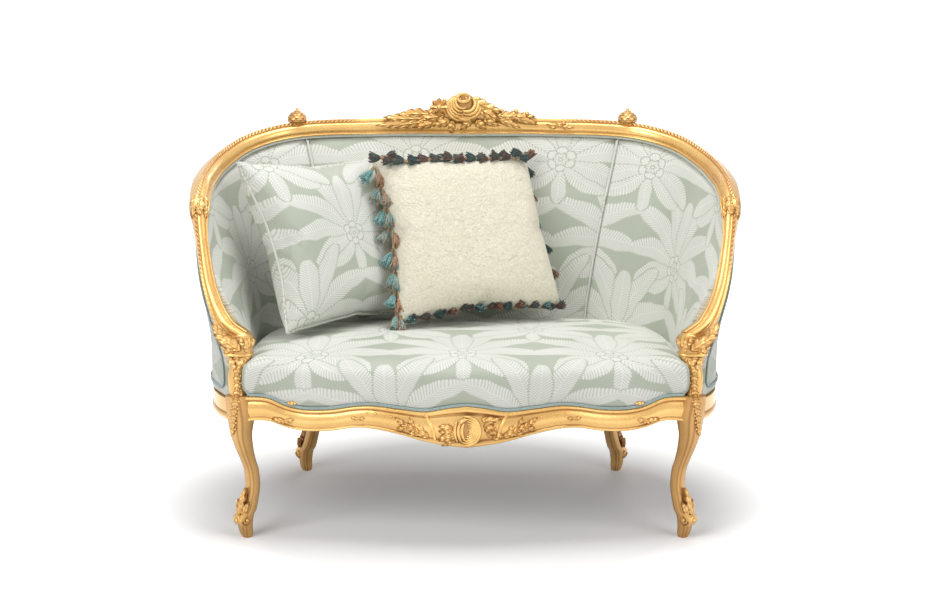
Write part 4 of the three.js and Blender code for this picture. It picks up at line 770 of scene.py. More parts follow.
def rose(part):
    """The rolled heart, open at its top, and the petals round it."""
    # A flat dark disc behind the petals: painted shade of the hollow under the rose.
    ball(part, ROSE - UP * 22, (34, 9, 33), 0.8)
    crescent(part, ROSE, RIGHT, UP * 0.66, (17, 15), 40, 392, 5.2, (14, 10), 34)
    crescent(part, ROSE + RIGHT * 2 - UP * 3, RIGHT, UP * 0.8, (11, 5), 150, 430, 3.4, (9, 7))
    for x, down, radius, begin, finish, thick, lift in PETALS:
        middle = ROSE + RIGHT * x - UP * down
        crescent(part, middle, RIGHT, UP * ROSE_TILT, radius, begin, finish, thick, lift)


def crest(part):
    """The top rail's middle length, with leaf sprays on both sides of a rose."""
    moulded(part, -1, 1)
    crest_mass(part)
    carve(part, crest_place, CREST_LEAVES)
    for x, z, radius in CREST_BEADS:
        ball(part, (x, CREST_FACE - 3, z), radius, 0.1)
    x, z = CREST_FLOWER
    for depth, radius, petals in CREST_FLOWER_RINGS:
        rosette(part, np.array([x, CREST_FACE - depth, z]), RIGHT, UP, radius, petals)
    rose(part)


# Seat frame
LEG_X, RAIL_TOP, RAIL_THICK, SIDE_TOP, SIDE_DROP, SIDE_X, SIDE_Y = 516, 346, 34, 330, 50, 594, 515
SWING, KNEE = 13, 28.5
LEG_TOP_X, LEG_TOP_Y = LEG_X + 1.1 * SWING, 5
FRONT_SETBACK, FRONT_BOW = 8, 60        # the front rail's line: in front of the feet, and its swell
# The front rail's edges from the middle to the leg: shares of the half span and of the height, the top
# edge and the lower one.
EDGE_SHARES = np.array([
    [0, .977, .694], [.081, .962, .708], [.18, .937, .734], [.3, .952, .781], [.42, .968, .812],
    [.5, .957, .812], [.6, .93, .785], [.72, .922, .776], [.8, .943, .795], [.89, .994, .836], [1, 1, .827]])
top_edge, low_edge = (
    np.array([curve(np.c_[EDGE_SHARES[:, 0], EDGE_SHARES[:, i], 0 * EDGE_SHARES[:, 0]])(t)
              for t in np.linspace(0, 1, 400)]) for i in (1, 2))


def front_y(x):
    """The front rail's line in plan."""
    bow = np.maximum(0, np.cos(math.pi * np.asarray(x, float) / (2 * LEG_X))) ** 1.5
    return -FRONT_SETBACK - FRONT_BOW * bow


def front_top(x):
    """Height of the front rail's top edge."""
    return RAIL_TOP * np.interp(np.abs(x) / LEG_X, top_edge[:, 0], top_edge[:, 1])


def front_bottom(x):
    """Height of the front rail's lower edge."""
    return RAIL_TOP * np.interp(np.abs(x) / LEG_X, low_edge[:, 0], low_edge[:, 1])


def front_out(x):
    """The way out of the front rail's face in plan."""
    x = np.asarray(x, float)
    slope = (front_y(x + 4) - front_y(x - 4)) / 8
    return unit(np.stack([slope, -np.ones_like(slope), 0 * slope], -1))


# Profiles of the seat rails as shares of thickness and height.
FRONT_PROFILE_SHARES = np.concatenate([
    [[-0.5, 0.02], [-0.45, 0.0], [0.0, 0.0], [0.34, 0.0]],
    arc(0.385, 0.055, 0.085, 0.055, -80, 70, 7),
    [[0.375, 0.13], [0.345, 0.16]],
    np.stack([0.345 + 0.085 * np.sin(np.linspace(0, math.pi, 13)), np.linspace(0.18, 0.72, 13)], 1),
    [[0.3, 0.755], [0.28, 0.785], [0.3, 0.82], [0.355, 0.845]],
    arc(0.385, 0.91, 0.075, 0.06, -70, 80, 7),
    [[0.36, 0.985], [0.3, 1.0], [0.0, 1.0], [-0.46, 1.0], [-0.5, 0.98], [-0.5, 0.6], [-0.5, 0.3]],
])
PLAIN_PROFILE_SHARES = np.array([
    [-0.5, 0], [0.3, 0], [0.42, 0.02], [0.49, 0.1], [0.5, 0.16], [0.46, 0.26], [0.4, 0.32], [0.4, 0.4],
    [0.4, 0.7], [0.4, 1], [-0.5, 1], [-0.5, 0.5]])
profile_depth, profile_height = FRONT_PROFILE_SHARES.T
# Darker in the two quirks of the front profile: painted shade and wax.
FRONT_WAX_AND_SHADE = sum(np.exp(-((profile_height - z) / 0.03) ** 2) for z in (0.79, 0.145)) * (profile_depth > 0.2)
face_shares = FRONT_PROFILE_SHARES[4:-7]
face_shares = face_shares[np.argsort(face_shares[:, 1])]


def front_place(x, z):
    """A point on the front rail's face, the ways along and up it, and the way out of it."""
    x = float(x)
    low, high = front_bottom(x), front_top(x)
    depth = np.interp((z - low) / (high - low), face_shares[:, 1], face_shares[:, 0])
    out = front_out(x)
    return np.array([x, float(front_y(x)), z]) + out * (depth * RAIL_THICK), np.cross(UP, out), UP, out


def plan_rail(part, at, out, bottom, top, profile, age):
    """A rail along a line in plan, between two lines of heights."""
    z = bottom[:, None] + (top - bottom)[:, None] * profile[None, :, 1]
    p = at[:, None, :2] + out[:, None, :2] * (profile[None, :, 0] * RAIL_THICK)[..., None]
    loft(part, np.concatenate([p, z[..., None]], -1), np.broadcast_to(age, z.shape))


SIDE_RAIL_SHARES = [[.885, .005], [.952, .117], [.993, .27], [1, .46], [.957, .68], [.855, .86], [.69, 1]]
side_rail_curve = curve(np.array(SIDE_RAIL_SHARES) @ np.diag([SIDE_X, SIDE_Y]) @ np.eye(2, 3))
# Cabriole line: height share, swing and width shares.
CABRIOLE_SHARES = np.array([
    [0, -.15, .37], [.035, 0, .5], [.09, .15, .56], [.14, .1, .6], [.19, -.4, .6], [.25, -.8, .58],
    [.36, -1.2, .55], [.45, -1.05, .56], [.54, -.5, .58], [.64, .15, .7], [.74, .54, .84], [.83, .55, 1],
    [.92, .8, .98], [1, 1.1, .86]])
cabriole_line = np.array([curve(CABRIOLE_SHARES)(t) for t in np.linspace(0, 1, 91)])
# Console over the leg: height, width and shift shares.
CONSOLE_SHARES = np.array([
    [0, .92, 0], [.3, .86, .28], [.5, 1.05, -.15], [.68, 1.5, -.33], [.86, 1.7, 0], [1, 1.65, .4]])
console_line = np.array([curve(CONSOLE_SHARES)(t) for t in np.linspace(0, 1, 40)])
CONSOLE_TOP, CONSOLE_WAIST, CONSOLE_FLARE, CONSOLE_SHIFT, CONSOLE_DEPTH = 478, 19, 32, 18, 21
CONSOLE_SIDES = 36


def squircle(half_x, half_y, turn, sides, power=2.7):
    """A square ring with rounded corners, turned about its middle."""
    a = np.arange(sides) * 2 * math.pi / sides
    c, s = np.cos(a), np.sin(a)
    x = half_x * np.sign(c) * np.abs(c) ** (2 / power)
    y = half_y * np.sign(s) * np.abs(s) ** (2 / power)
    return np.stack([x * math.cos(turn) - y * math.sin(turn), x * math.sin(turn) + y * math.cos(turn)], 1)


def leg_ring(foot, top, outward, row, sides=36):
    """The leg's section in plan at one row of the cabriole line."""
    away = unit([np.sign(foot[0]), outward])
    rise, swing, width = row
    lean = min(max(rise, 0), 1)
    lean = lean * lean * (3 - 2 * lean)
    c = np.array(foot) + swing * SWING * math.sqrt(2) * away + lean * (np.array(top) - foot)
    return c + squircle(width * KNEE, width * KNEE, math.atan2(away[1], away[0]), sides)


def console_ring(row):
    """The console's section in plan at one row of its line."""
    rise, width, shift = row
    half = min(width * CONSOLE_WAIST, CONSOLE_FLARE)
    return squircle(half, CONSOLE_DEPTH, 0, CONSOLE_SIDES, 3.0) + [LEG_TOP_X + shift * CONSOLE_SHIFT,
                                                                   LEG_TOP_Y + rise * CONSOLE_SHIFT]


FRONT_FOOT, FRONT_HEAD, REAR_FOOT, REAR_HEAD = (LEG_X, 0), (LEG_X, LEG_TOP_Y), (414, 555), (391, 515)


def stile_front(x, z):
    """How far forward the arm front or the leg under it stands at a point seen from the front."""
    if z > RAIL_TOP:
        line, share = console_line, (z - RAIL_TOP) / (CONSOLE_TOP - RAIL_TOP)
    else:
        line, share = cabriole_line, z / RAIL_TOP
    row = np.array([np.interp(share, line[:, 0], line[:, i]) for i in range(3)])
    ring = console_ring(row) if z > RAIL_TOP else leg_ring(FRONT_FOOT, FRONT_HEAD, -1, row)
    x = np.clip(x, ring[:, 0].min() + 1, ring[:, 0].max() - 1)
    a, b = ring, np.roll(ring, -1, 0)
    hit = (np.minimum(a[:, 0], b[:, 0]) <= x) & (np.maximum(a[:, 0], b[:, 0]) >= x)
    w = (x - a[hit, 0]) / np.where(np.abs(b - a)[hit, 0] < 1e-6, 1, (b - a)[hit, 0])
    return float((a[hit, 1] + w * (b - a)[hit, 1]).min())


def stile_place(x, z):
    """A point on the arm front or the leg, the ways right and up, and the way out."""
    y = stile_front(x, z)
    slope = (stile_front(x + 3, z) - stile_front(x - 3, z)) / 6
    out = unit([np.clip(slope, -1.5, 1.5), -1, 0])
    return np.array([x, y, z]), np.array([-out[1], out[0], 0]), UP, out


# The strip of husks down the arm front and the knee: height and place across.
STRIP_Z, STRIP_X = [250, 290, 323, 371, 430], [543, 537, 533, 528, 530]
HUSK_STEP, HUSK_LENGTH, HUSK_WIDTH, HUSK_REACH, HUSK_BEAD = 17, 25, 19, 12, 2.6


def husks(part, top, bottom):
    """A string of husks, each a small leaf with a bead on both sides."""
    for z in np.arange(top, bottom, -HUSK_STEP):
        (root, right, up, out), (ahead, *_) = (
            stile_place(float(np.interp(h, STRIP_Z, STRIP_X)), h) for h in (z, z - HUSK_REACH))
        leaf(part, root, ahead - root, out, HUSK_LENGTH, HUSK_WIDTH, 3, 4.5, curl=1.5)
        for sign in (-1, 1):
            ball(part, root + right * (sign * HUSK_WIDTH * 0.42) - up * 5 + out, HUSK_BEAD, 0.2)


LEG_SIDES = 60
# Painted shade in lines beside each arris, where grooves are not modelled.
GROOVE_SHADE_ANGLES = (28, 62, 118, 152, 208, 242, 298, 332)      # degrees round the leg, beside each arris
GROOVE_WIDTH = 7


def cabriole(part, foot, head, outward):
    """A leg from its foot to the rail's top, darkened all over and in lines beside each arris with painted
    shade.
    """
    a = np.arange(LEG_SIDES) * 2 * math.pi / LEG_SIDES
    rings = []
    for row in cabriole_line:
        z = np.full(LEG_SIDES, np.clip(row[0], 0, 1) * RAIL_TOP)
        rings.append(np.c_[leg_ring(foot, head, outward, row, LEG_SIDES), z])
    groove_shade = sum(np.exp(-((np.degrees(a) - at) / GROOVE_WIDTH) ** 2) for at in GROOVE_SHADE_ANGLES)
    # 0.55 darkens the whole leg: painted shade.
    loft(part, rings, np.clip(0.55 + 0.4 * groove_shade, 0, 1))


SPIRAL_STEPS = 48


def spiral(part, centre, axis_a, axis_b, outer, turns, radius):
    """A raised spiral in the plane of two axes."""
    a = np.linspace(0, turns * 2 * math.pi, SPIRAL_STEPS)
    r = outer * (1 - 0.86 * (a / a[-1]) ** 0.8)
    rise = unit(np.cross(axis_a, axis_b))
    path = (np.asarray(centre) + np.outer(r * np.cos(a), axis_a) + np.outer(r * np.sin(a), axis_b)
            + np.outer(np.linspace(0, 2.4, SPIRAL_STEPS), rise))
    # Darker on the flanks and underside, where the spiral meets the surface: painted shade and wax.
    shade_below = np.clip(0.4 - 0.8 * np.sin(np.arange(8) * math.pi / 4), 0, 1)
    tube(part, path, radius * np.linspace(1.0, 0.75, SPIRAL_STEPS), rise, 8, age=shade_below)


def drum(part, middle, side, up, axle, radius, width, shares, age):
    """A turned drum on an axle, from shares of its radius and width."""
    a = np.linspace(0, 2 * math.pi, 32, endpoint=False)
    rings = [middle + np.outer(np.cos(a), side) * r * radius + np.outer(np.sin(a), up) * r * radius
             + axle * w * width for r, w in shares]
    loft(part, rings, age)


TOE_RADIUS, TOE_WIDTH, TOE_Z, EYE_RADIUS = 17, 31, 46, 4
TOE_SHARES = [
    (0.01, 0.5), (0.55, 0.5), (0.95, 0.46), (1.0, 0.36), (1.0, 0.2), (0.93, 0.08), (0.93, -0.08),
    (1.0, -0.2), (1.0, -0.36), (0.95, -0.46), (0.55, -0.5), (0.01, -0.5)]
VOLUTE_RADIUS, VOLUTE_WIDTH, VOLUTE_DROP = 21, 38, 8.4
VOLUTE_SHARES = [
    (0.02, 0.5), (0.5, 0.53), (0.8, 0.5), (0.96, 0.44), (1, 0.34), (1, -0.34), (0.9, -0.45), (0.02, -0.5)]


def toe(part, foot, outward):
    """The curled toe: a drum across the leg with a spiral on both ends, and leaves up the shin."""
    away = unit([np.sign(foot[0]), outward, 0])
    axle = np.array([-away[1], away[0], 0])
    middle = np.array([foot[0], foot[1], TOE_Z]) + away * TOE_RADIUS * 0.62
    drum(part, middle, away, UP, axle, TOE_RADIUS, TOE_WIDTH, TOE_SHARES, 0.12)
    for sign in (1, -1):
        spiral(part, middle + axle * sign * 15.2, away, UP * sign, 13.5, 1.6, 3.0)
        ball(part, middle + axle * sign * TOE_RADIUS, EYE_RADIUS, 0.1)
    spiral(part, middle + away * 15, axle, UP, 11, 1.4, 2.6)
    ball(part, middle + away * TOE_RADIUS, EYE_RADIUS)
    shin = unit(UP * 0.96 - away * 0.3)
    leaf(part, middle + away * 10 + UP * 12, shin, away, 66, 25, 4, 5, sink=8)
    for sign in (-1, 1):
        leaf(part, middle + away * 7 + axle * sign * 8 + UP * 12, shin + axle * sign * 0.35,
             away + axle * sign * 0.5, 36, 16, 3, 4, sink=7)


def console(part):
    """The waisted block between the leg and the arm's scroll."""
    z = RAIL_TOP + 0.3 + (CONSOLE_TOP - RAIL_TOP) * console_line[:, 0]
    rings = [np.c_[console_ring(row), np.full(CONSOLE_SIDES, h)] for row, h in zip(console_line, z)]
    loft(part, rings, 0.12)


# The rear post's line, foot to top, with the share of its girth at each place.
POST = np.array([
    [404, 512, 280, 1], [404, 512, 372, 1], [419, 536, 615, .8], [431, 562, 858, .4], [436, 571, 892, .22]])
POST_HALF, POST_SIDES = 15, 24


def rear_post(part):
    """The rear leg carried on up behind the padding to the top rail."""
    at = curve(POST[:, :3])
    rings = []
    for t in np.linspace(0, 1, 30):
        x, y, z = at(t)
        half = np.interp(t, np.linspace(0, 1, len(POST)), POST[:, 3]) * POST_HALF
        rings.append(np.c_[squircle(6 + half, half, 0, POST_SIDES, 3.2) + [x, y], np.full(POST_SIDES, z)])
    loft(part, rings)


# Bud of the finial: radius and height shares.
BUD_SHARES = np.array([
    [0.05, -0.08], [0.62, -0.08], [0.7, -0.02], [0.62, 0.03], [0.82, 0.1], [0.98, 0.26], [1.0, 0.42],
    [0.88, 0.62], [0.62, 0.8], [0.32, 0.92], [0.16, 1.0], [0.13, 1.12], [0.02, 1.16]])
BUD_PLACE, BUD_RADIUS, BUD_HEIGHT, BUD_SIDES = np.array([426.0, 572.0, 921.0]), 24.5, 36, 40
BUD_ROWS, BUD_SCALES = 6.5, 4           # rows of scales up the bud, and half the scales in a row


def finial(part):
    """A bud of overlapping scales on a turned collar."""
    at = curve(np.c_[BUD_SHARES, np.zeros(len(BUD_SHARES))])
    a = np.linspace(0, 2 * math.pi, BUD_SIDES, endpoint=False)
    rings, wax_and_shade_values = [], []
    for t in np.linspace(0, 1, 50):
        r, h, _ = at(t)
        body = smooth(h, 0.04, 0.12) * (1 - smooth(h, 0.92, 1.0))
        step = h * BUD_ROWS % 1.0
        odd = int(h * BUD_ROWS) % 2
        scale = np.abs(np.sin(BUD_SCALES * a + odd * math.pi / 2)) ** 0.5
        rr = r * BUD_RADIUS * (1 + body * (0.14 * scale * (1 - 0.6 * step) - 0.07))
        z = np.full(BUD_SIDES, h * BUD_HEIGHT)
        rings.append(BUD_PLACE + np.stack([rr * np.cos(a), rr * np.sin(a), z], 1))
        # Darker between the scales, at the foot of each row and a little over the whole bud: painted shade
        # and wax.
        wax_and_shade_values.append(np.clip(body * ((1 - scale) * 0.9 + 0.5 * (step < 0.2)) + 0.35, 0, 1))
    loft(part, rings, np.array(wax_and_shade_values))


def dress(obj, body, slot, *nodes):
    """The body that a piece rides on, its slot, which is not used, and the CAD nodes that it stands for, if
    any.
    """
    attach(obj, body)
    if nodes:
        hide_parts(*nodes)
    return obj


def pair(name, build, node_name, mat=gilt, sharp=38, slot="giltwood"):
    """A right-hand piece and its mirror image."""
    right = Part()
    build(right)
    for side, part in (("right", right), ("left", right.mirror())):
        dress(part.make(f"{name}_{side}", mat, sharp), "frame", slot, f"{node_name}_{side}")


def single(name, build, *nodes, mat=gilt, sharp=38, slot="giltwood"):
    """A piece of the frame that stands once."""
    part = Part()
    build(part)
    return dress(part.make(name, mat, sharp), "frame", slot, *nodes)


def front_leg(part):
    """Leg, toe and the husks on its knee."""
    cabriole(part, FRONT_FOOT, FRONT_HEAD, -1)
    toe(part, FRONT_FOOT, -1)
    husks(part, 343, 262)


def rear_leg(part):
    """Leg, toe and the post above it."""
    cabriole(part, REAR_FOOT, REAR_HEAD, 1)
    toe(part, REAR_FOOT, 1)
    rear_post(part)


# Leaves under the arm's scroll, listed as the crest's are, and the band below them.
ACANTHUS = [
    (546, 462, 44, 66, 30, 4, 6, 10), (520, 450, 40, 72, 34, 4, 7, -10), (504, 446, 74, 34, 24, 3, 6, 8),
    (536, 446, 16, 36, 22, 3, 6, 10), (500, 452, 118, 26, 18, 2, 5, 0), (512, 436, -72, 40, 26, 3, 6, 8),
    (546, 436, -112, 36, 22, 3, 5, -8), (530, 438, -90, 30, 24, 3, 6, 0),
]
BAND_Z, BAND_RADIUS, BAND_SIDES = 440, 3.6, 40
GRIP_ANGLES = (-80, -30, 20, 70, 120)   # the leaves round the rail at its knuckle, in degrees


def arm_front(part):
    """The moulded line's end, its scroll, the console below and the leaves on both."""
    moulded(part, KNUCKLE, LAST)
    console(part)
    o, _, face, _, _ = line_frame(LAST)
    c = o - UP * VOLUTE_DROP
    side = unit(np.cross(UP, face))
    drum(part, c, side, UP, face, VOLUTE_RADIUS, VOLUTE_WIDTH, VOLUTE_SHARES, 0.1)
    spiral(part, c + face * 19.5, side, UP, 16, 1.4, 3.6)
    ball(part, c + face * 22, 5)
    # Leaves that grip the rail at its bend, up it and down it.
    o, way, face, up, size = line_frame(KNUCKLE)
    for sign in (1, -1):
        for a in np.radians(GRIP_ANGLES):
            out = face * math.cos(a) + up * math.sin(a)
            reach = face * (math.cos(a) * RAIL_DEPTH) + up * (math.sin(a) * RAIL_FACE)
            leaf(part, o + reach * (size * 0.5), way * sign, out, 32, 20, 3, 4, curl=-2, sink=6)
    ring = squircle(CONSOLE_FLARE, CONSOLE_DEPTH + 2, 0, BAND_SIDES, 3.0) + [LEG_TOP_X - 3, LEG_TOP_Y + 12]
    tube(part, np.c_[ring, np.full(BAND_SIDES, float(BAND_Z))], BAND_RADIUS, UP, 8, closed=True, age=0.2)
    carve(part, stile_place, ACANTHUS)
    husks(part, 414, 350)


# Front rail: the shell's ridges (radius, start, stop, thickness, lift, shift in x) and the leaves beside it.
SHELL_Z, SHELL_STRETCH = 281, 1.1
SHELL = [
    (31, 96, -122, 5.2, 5, 0), (25.5, 93, -118, 4.4, 6, 1), (20.5, 90, -114, 4.2, 6.5, 2),
    (15.5, 87, -109, 4.0, 7, 3), (10.5, 84, -104, 3.8, 7, 4), (5, 84, -100, 3.4, 7, 5),
    (30, 146, 220, 4.6, 6, 20), (38, 149, 215, 4.4, 5, 20), (46, 152, 209, 4.0, 4, 20),
    (26, 98, 148, 4.2, 6, 6)]
RAIL_LEAVES = [
    (-22, 270, 188, 44, 26, 3, 8, 6), (-24, 260, 206, 36, 18, 3, 7, 0), (-30, 284, 158, 34, 20, 3, 7, 6),
    (-26, 277, 176, 38, 20, 3, 8, 0),
    (34, 308, -14, 46, 20, 3, 6, 10), (42, 300, -52, 38, 24, 3, 7, -8), (50, 264, 58, 36, 22, 3, 7, 8),
    (60, 262, 22, 28, 16, 2, 6, 0), (64, 290, -100, 24, 16, 2, 6, 4),
]
# One side's spray and small motifs, mirrored on the other side, as the beads and the panel's line are.
SPRAY_LEAVES = [
    (84, 266, 20, 44, 22, 3, 7, 8), (96, 270, 66, 28, 16, 2, 6, 0), (106, 274, -8, 28, 15, 2, 6, 0),
    (112, 280, 22, 36, 19, 3, 7, 6), (120, 288, 70, 24, 14, 2, 6, 0), (132, 286, -6, 26, 14, 2, 6, 0),
    (136, 292, 28, 32, 16, 3, 6, 4), (246, 303, 8, 18, 11, 2, 5, 0), (246, 303, 172, 18, 11, 2, 5, 0),
    (414, 288, 12, 34, 17, 3, 6, 0), (418, 289, 168, 28, 15, 2, 6, 0),
]
BEADS = [
    (170, 311, 3.6), (184, 314, 3), (206, 316, 3.4), (226, 317, 2.8), (246, 303, 3.2), (399, 333, 5),
    (392, 333, 3.5), (406, 333, 3.5), (90, 313, 4.4)]
PANEL_LINE = [(94, 318), (88, 308), (82, 297), (77, 286), (73, 272), (70, 258)]


def shell(part):
    """The shell: nested ridges over a dark disc, painted shade of the hollow."""
    centre, right, up, _ = front_place(0, SHELL_Z)
    ball(part, centre, (29, 6, 32), 0.8)
    for radius, start, stop, thick, lift, shift in SHELL:
        crescent(part, centre + right * shift, right, up * SHELL_STRETCH, radius, start, stop, thick, lift)


def rail_side(part, sign):
    """The carving on one side of the shell: spray, beads and the line that closes the middle panel."""
    carve(part, front_place, [(sign * x, z, a if sign > 0 else 180 - a, *rest, bend * sign)
                              for x, z, a, *rest, bend in SPRAY_LEAVES])
    for x, z, radius in BEADS:
        ball(part, front_place(sign * x, z)[0], radius, 0.15)
    line = resample([front_place(sign * x, z)[0] for x, z in PANEL_LINE], 4)
    tube(part, line, 4.6 * np.sin(np.linspace(0.5, 2.7, len(line))) ** 0.5, FORWARD, 8, age=0.2)


def front_rail(part):
    """The serpentine rail with its mouldings and carving."""
    x = np.linspace(-LEG_TOP_X, LEG_TOP_X, 420)
    at = np.stack([x, front_y(x), 0 * x], 1)
    shade = 0.25 * np.exp(-((x / 75) ** 4))[:, None] * (profile_depth[None] > 0.3)
    plan_rail(part, at, front_out(x), front_bottom(x), front_top(x), FRONT_PROFILE_SHARES,
              np.clip(FRONT_WAX_AND_SHADE + shade, 0, 1))
    shell(part)
    carve(part, front_place, RAIL_LEAVES)
    for sign in (1, -1):
        rail_side(part, sign)


SIDE_STEPS, REAR_STEPS = 90, 80
REAR_HALF_SPAN, REAR_BOW, REAR_BOTTOM = 404, 12, 280.0


def side_rail(part):
    """A side rail, bowed in plan, a little deeper where it meets the front leg."""
    t = np.linspace(0, 1, SIDE_STEPS)
    at = np.array([side_rail_curve(v) for v in t])
    way = np.array([tangent(side_rail_curve, v) for v in t])
    out = np.stack([way[:, 1], -way[:, 0], 0 * t], 1)
    drop = 8 * (1 - smooth(t, 0, 0.14)) ** 2
    # Darker in the corner above the bead: painted shade and wax.
    plan_rail(part, at, out, SIDE_TOP - SIDE_DROP - drop, np.full(SIDE_STEPS, float(SIDE_TOP)),
              PLAIN_PROFILE_SHARES, np.exp(-((PLAIN_PROFILE_SHARES[:, 1] - 0.32) / 0.05) ** 2))


def rear_rail(part):
    """The rear rail, bowed a little to the back."""
    x = np.linspace(-REAR_HALF_SPAN, REAR_HALF_SPAN, REAR_STEPS)
    at = np.stack([x, SIDE_Y + REAR_BOW * (1 - (x / REAR_HALF_SPAN) ** 2), 0 * x], 1)
    out = unit(np.stack([2 * REAR_BOW * x / REAR_HALF_SPAN ** 2, np.ones(REAR_STEPS), 0 * x], 1))
    heights = (np.full(REAR_STEPS, z) for z in (REAR_BOTTOM, float(SIDE_TOP)))
    plan_rail(part, at, out, *heights, PLAIN_PROFILE_SHARES, 0.0)


pair("front_leg_carved", front_leg, "front_leg")
pair("rear_leg_carved", rear_leg, "rear_leg")
pair("top_rail_moulded", lambda part: moulded(part, 1, KNUCKLE), "top_rail")
pair("arm_front_scrolled", arm_front, "arm_front")
pair("finial_bud", finial, "finial")
pair("side_rail_moulded", side_rail, "side_seat_rail")
single("front_rail_serpentine", front_rail, "front_seat_rail")
single("rear_rail_shaped", rear_rail, "rear_seat_rail")
single("crest_rail_carved", crest, "crest_rail")

# The tub's padding and covers
PAD_FOOT, POST_U, SEAM_U, SEAT_X, SEAT_Y, PAD_BULGE = 332.6, 2 / 7, 0.262, 504, 462, 15
HEAD_LIFT = -0.54                       # how far down the rail's section the padding ends
# The tub in plan at its foot, inside and outside, from the middle of the back to the arm front, and the
# line that each follows up the arm front, with its share of the way up.
INNER_LINE_SHARES = np.array([
    [0, 1], [.34, 1], [.645, .992], [.81, .925], [.935, .745], [.99, .52], [1, .22], [.995, .04]])
OUTER_LINE_SHARES = np.array([
    [0, 1.05], [.36, 1.05], [.725, 1.035], [.9, .89], [.99, .69], [1.03, .47], [1.015, .27], [.935, .06]])
INNER_EDGE_SHARES = [
    [.99, .075, 0], [.985, .09, .3], [1.05, .11, .42], [1.13, .14, .56], [1.2, .22, .83], [1.235, .32, 1]]
OUTER_EDGE_SHARES = [
    [.935, .05, 0], [.945, .065, .25], [.99, .095, .42], [1.03, .13, .56], [1.055, .21, .83], [1.068, .3, 1]]


def plan_curve(shares, width, depth):
    """A line of the tub's plan, carried on past the middle so that it runs level there."""
    p = np.c_[shares * [width, depth], np.zeros(len(shares))]
    return curve(np.concatenate([[p[1] * [-1, 1, 1]], p]))


inner_line = plan_curve(INNER_LINE_SHARES, SEAT_X, SEAT_Y)
outer_line = plan_curve(OUTER_LINE_SHARES, SIDE_X, SIDE_Y)
inner_edge = curve(np.array(INNER_EDGE_SHARES) * [SEAT_X, SEAT_Y, 1])
outer_edge = curve(np.array(OUTER_EDGE_SHARES) * [SIDE_X, SIDE_Y, 1])


def rail_k(u):
    """The place on the top line above a place round the tub."""
    return 2 * u / POST_U if u < POST_U else 2 + 5 * (u - POST_U) / (1 - POST_U)


def tub_column(u, v, line2d, edge, depth):
    """Points up one line of the tub, from the seat rails to the top rail."""
    v = v[:, None]
    foot = line2d((1 + 7 * u) / 8) + [0, 0, PAD_FOOT]
    head = on_rail(rail_k(u), depth, HEAD_LIFT)
    here = foot + (head - foot) * v
    front_foot = line2d(1.0) + [0, 0, PAD_FOOT]
    front_head = on_rail(rail_k(1.0), depth, HEAD_LIFT)
    straight = front_foot + (front_head - front_foot) * v
    wanted = np.array([edge(max(0.0, float(w))) for w in v[:, 0]])
    wanted[:, 2] = straight[:, 2]
    blend = float(smooth(u, 0.55, 1)) ** 2
    return here + (wanted - straight) * blend, blend


def tub_grid(us, v, share, lift=0.0):
    """The tub's surface between its inside, share 0, and its outside, share 1."""
    rows = []
    for u in us:
        a = abs(u)
        inner, blend = tub_column(a, v, inner_line, inner_edge, 0.28)
        outer, _ = tub_column(a, v, outer_line, outer_edge, -0.4)
        away = unit((outer - inner) * [1, 1, 0])
        inner = inner - away * (PAD_BULGE * 4 * v * (1 - v) * (1 - blend))[:, None]
        p = inner + (outer - inner) * share + away * lift
        rows.append(p * [-1, 1, 1] if u < 0 else p)
    return np.array(rows)


def cloth_uv(grid, middle_row, x0=0.0):
    """Cloth coordinates over a grid: distance along its middle row, and up each column."""
    s = run_length(grid[:, middle_row, :2])
    up = np.array([run_length(column) for column in grid])
    return np.stack([s[:, None] + x0 + 0 * up, up - up[:, middle_row:middle_row + 1]], -1)


def grid_area(grid):
    """Area of a grid's surface in square metres, and its longest row and column in metres."""
    a, b = np.diff(grid, axis=0), np.diff(grid, axis=1)
    area = np.linalg.norm(np.cross(a[:, :-1], b[:-1]), axis=2).sum()
    lengths = [np.linalg.norm(d, axis=2).sum(axis).max() for axis, d in ((0, a), (1, b))]
    return area * MM * MM, lengths[0] * MM, lengths[1] * MM


def slab(part, near, far, uv):
    """A closed padded panel between a near and a far grid."""
    rings = np.concatenate([near, far[:, ::-1]], 1)
    n, m = rings.shape[:2]
    caps = []
    for row in (0, n - 1):
        for j in range(near.shape[1] - 1):
            a, b, c, d = row * m + j, row * m + j + 1, row * m + m - 2 - j, row * m + m - 1 - j
            caps.append([b, a, d, c] if row == 0 else [a, b, c, d])
    part.add(rings, np.concatenate([grid_faces(n, m, True), np.array(caps)]), None,
             np.concatenate([uv, uv[:, ::-1]], 1))


SEAM_PULL, SEAM_REACH, TOP_TUCK = 7, 0.03, 9
PAD_BACK = 0.58                         # the padding's share of the way to the outside


def padding(part, u0, u1, columns, x0):
    """Padding, drawn down into each seam and tucked under the rail at its top."""
    v = np.linspace(0.0, 1.0, 60)
    us = np.linspace(u0, u1, columns)
    near, far = tub_grid(us, v, 0.0), tub_grid(us, v, PAD_BACK)
    away = unit((far - near) * [1, 1, 0])
    pull = SEAM_PULL * (1 - np.minimum(np.abs(np.abs(us) - SEAM_U) / SEAM_REACH, 1)) ** 2
    tuck = TOP_TUCK * smooth(v, 0.955, 1.0) ** 2
    near = near + away * (pull[:, None] * smooth(v, 0.0, 0.15)[None] + tuck[None])[..., None]
    slab(part, near, far, cloth_uv(near, 30, x0))
    return None


EDGE_RETURN = np.array([-30.0, -3.0, 0.0])      # the side covers turn in behind the arm fronts


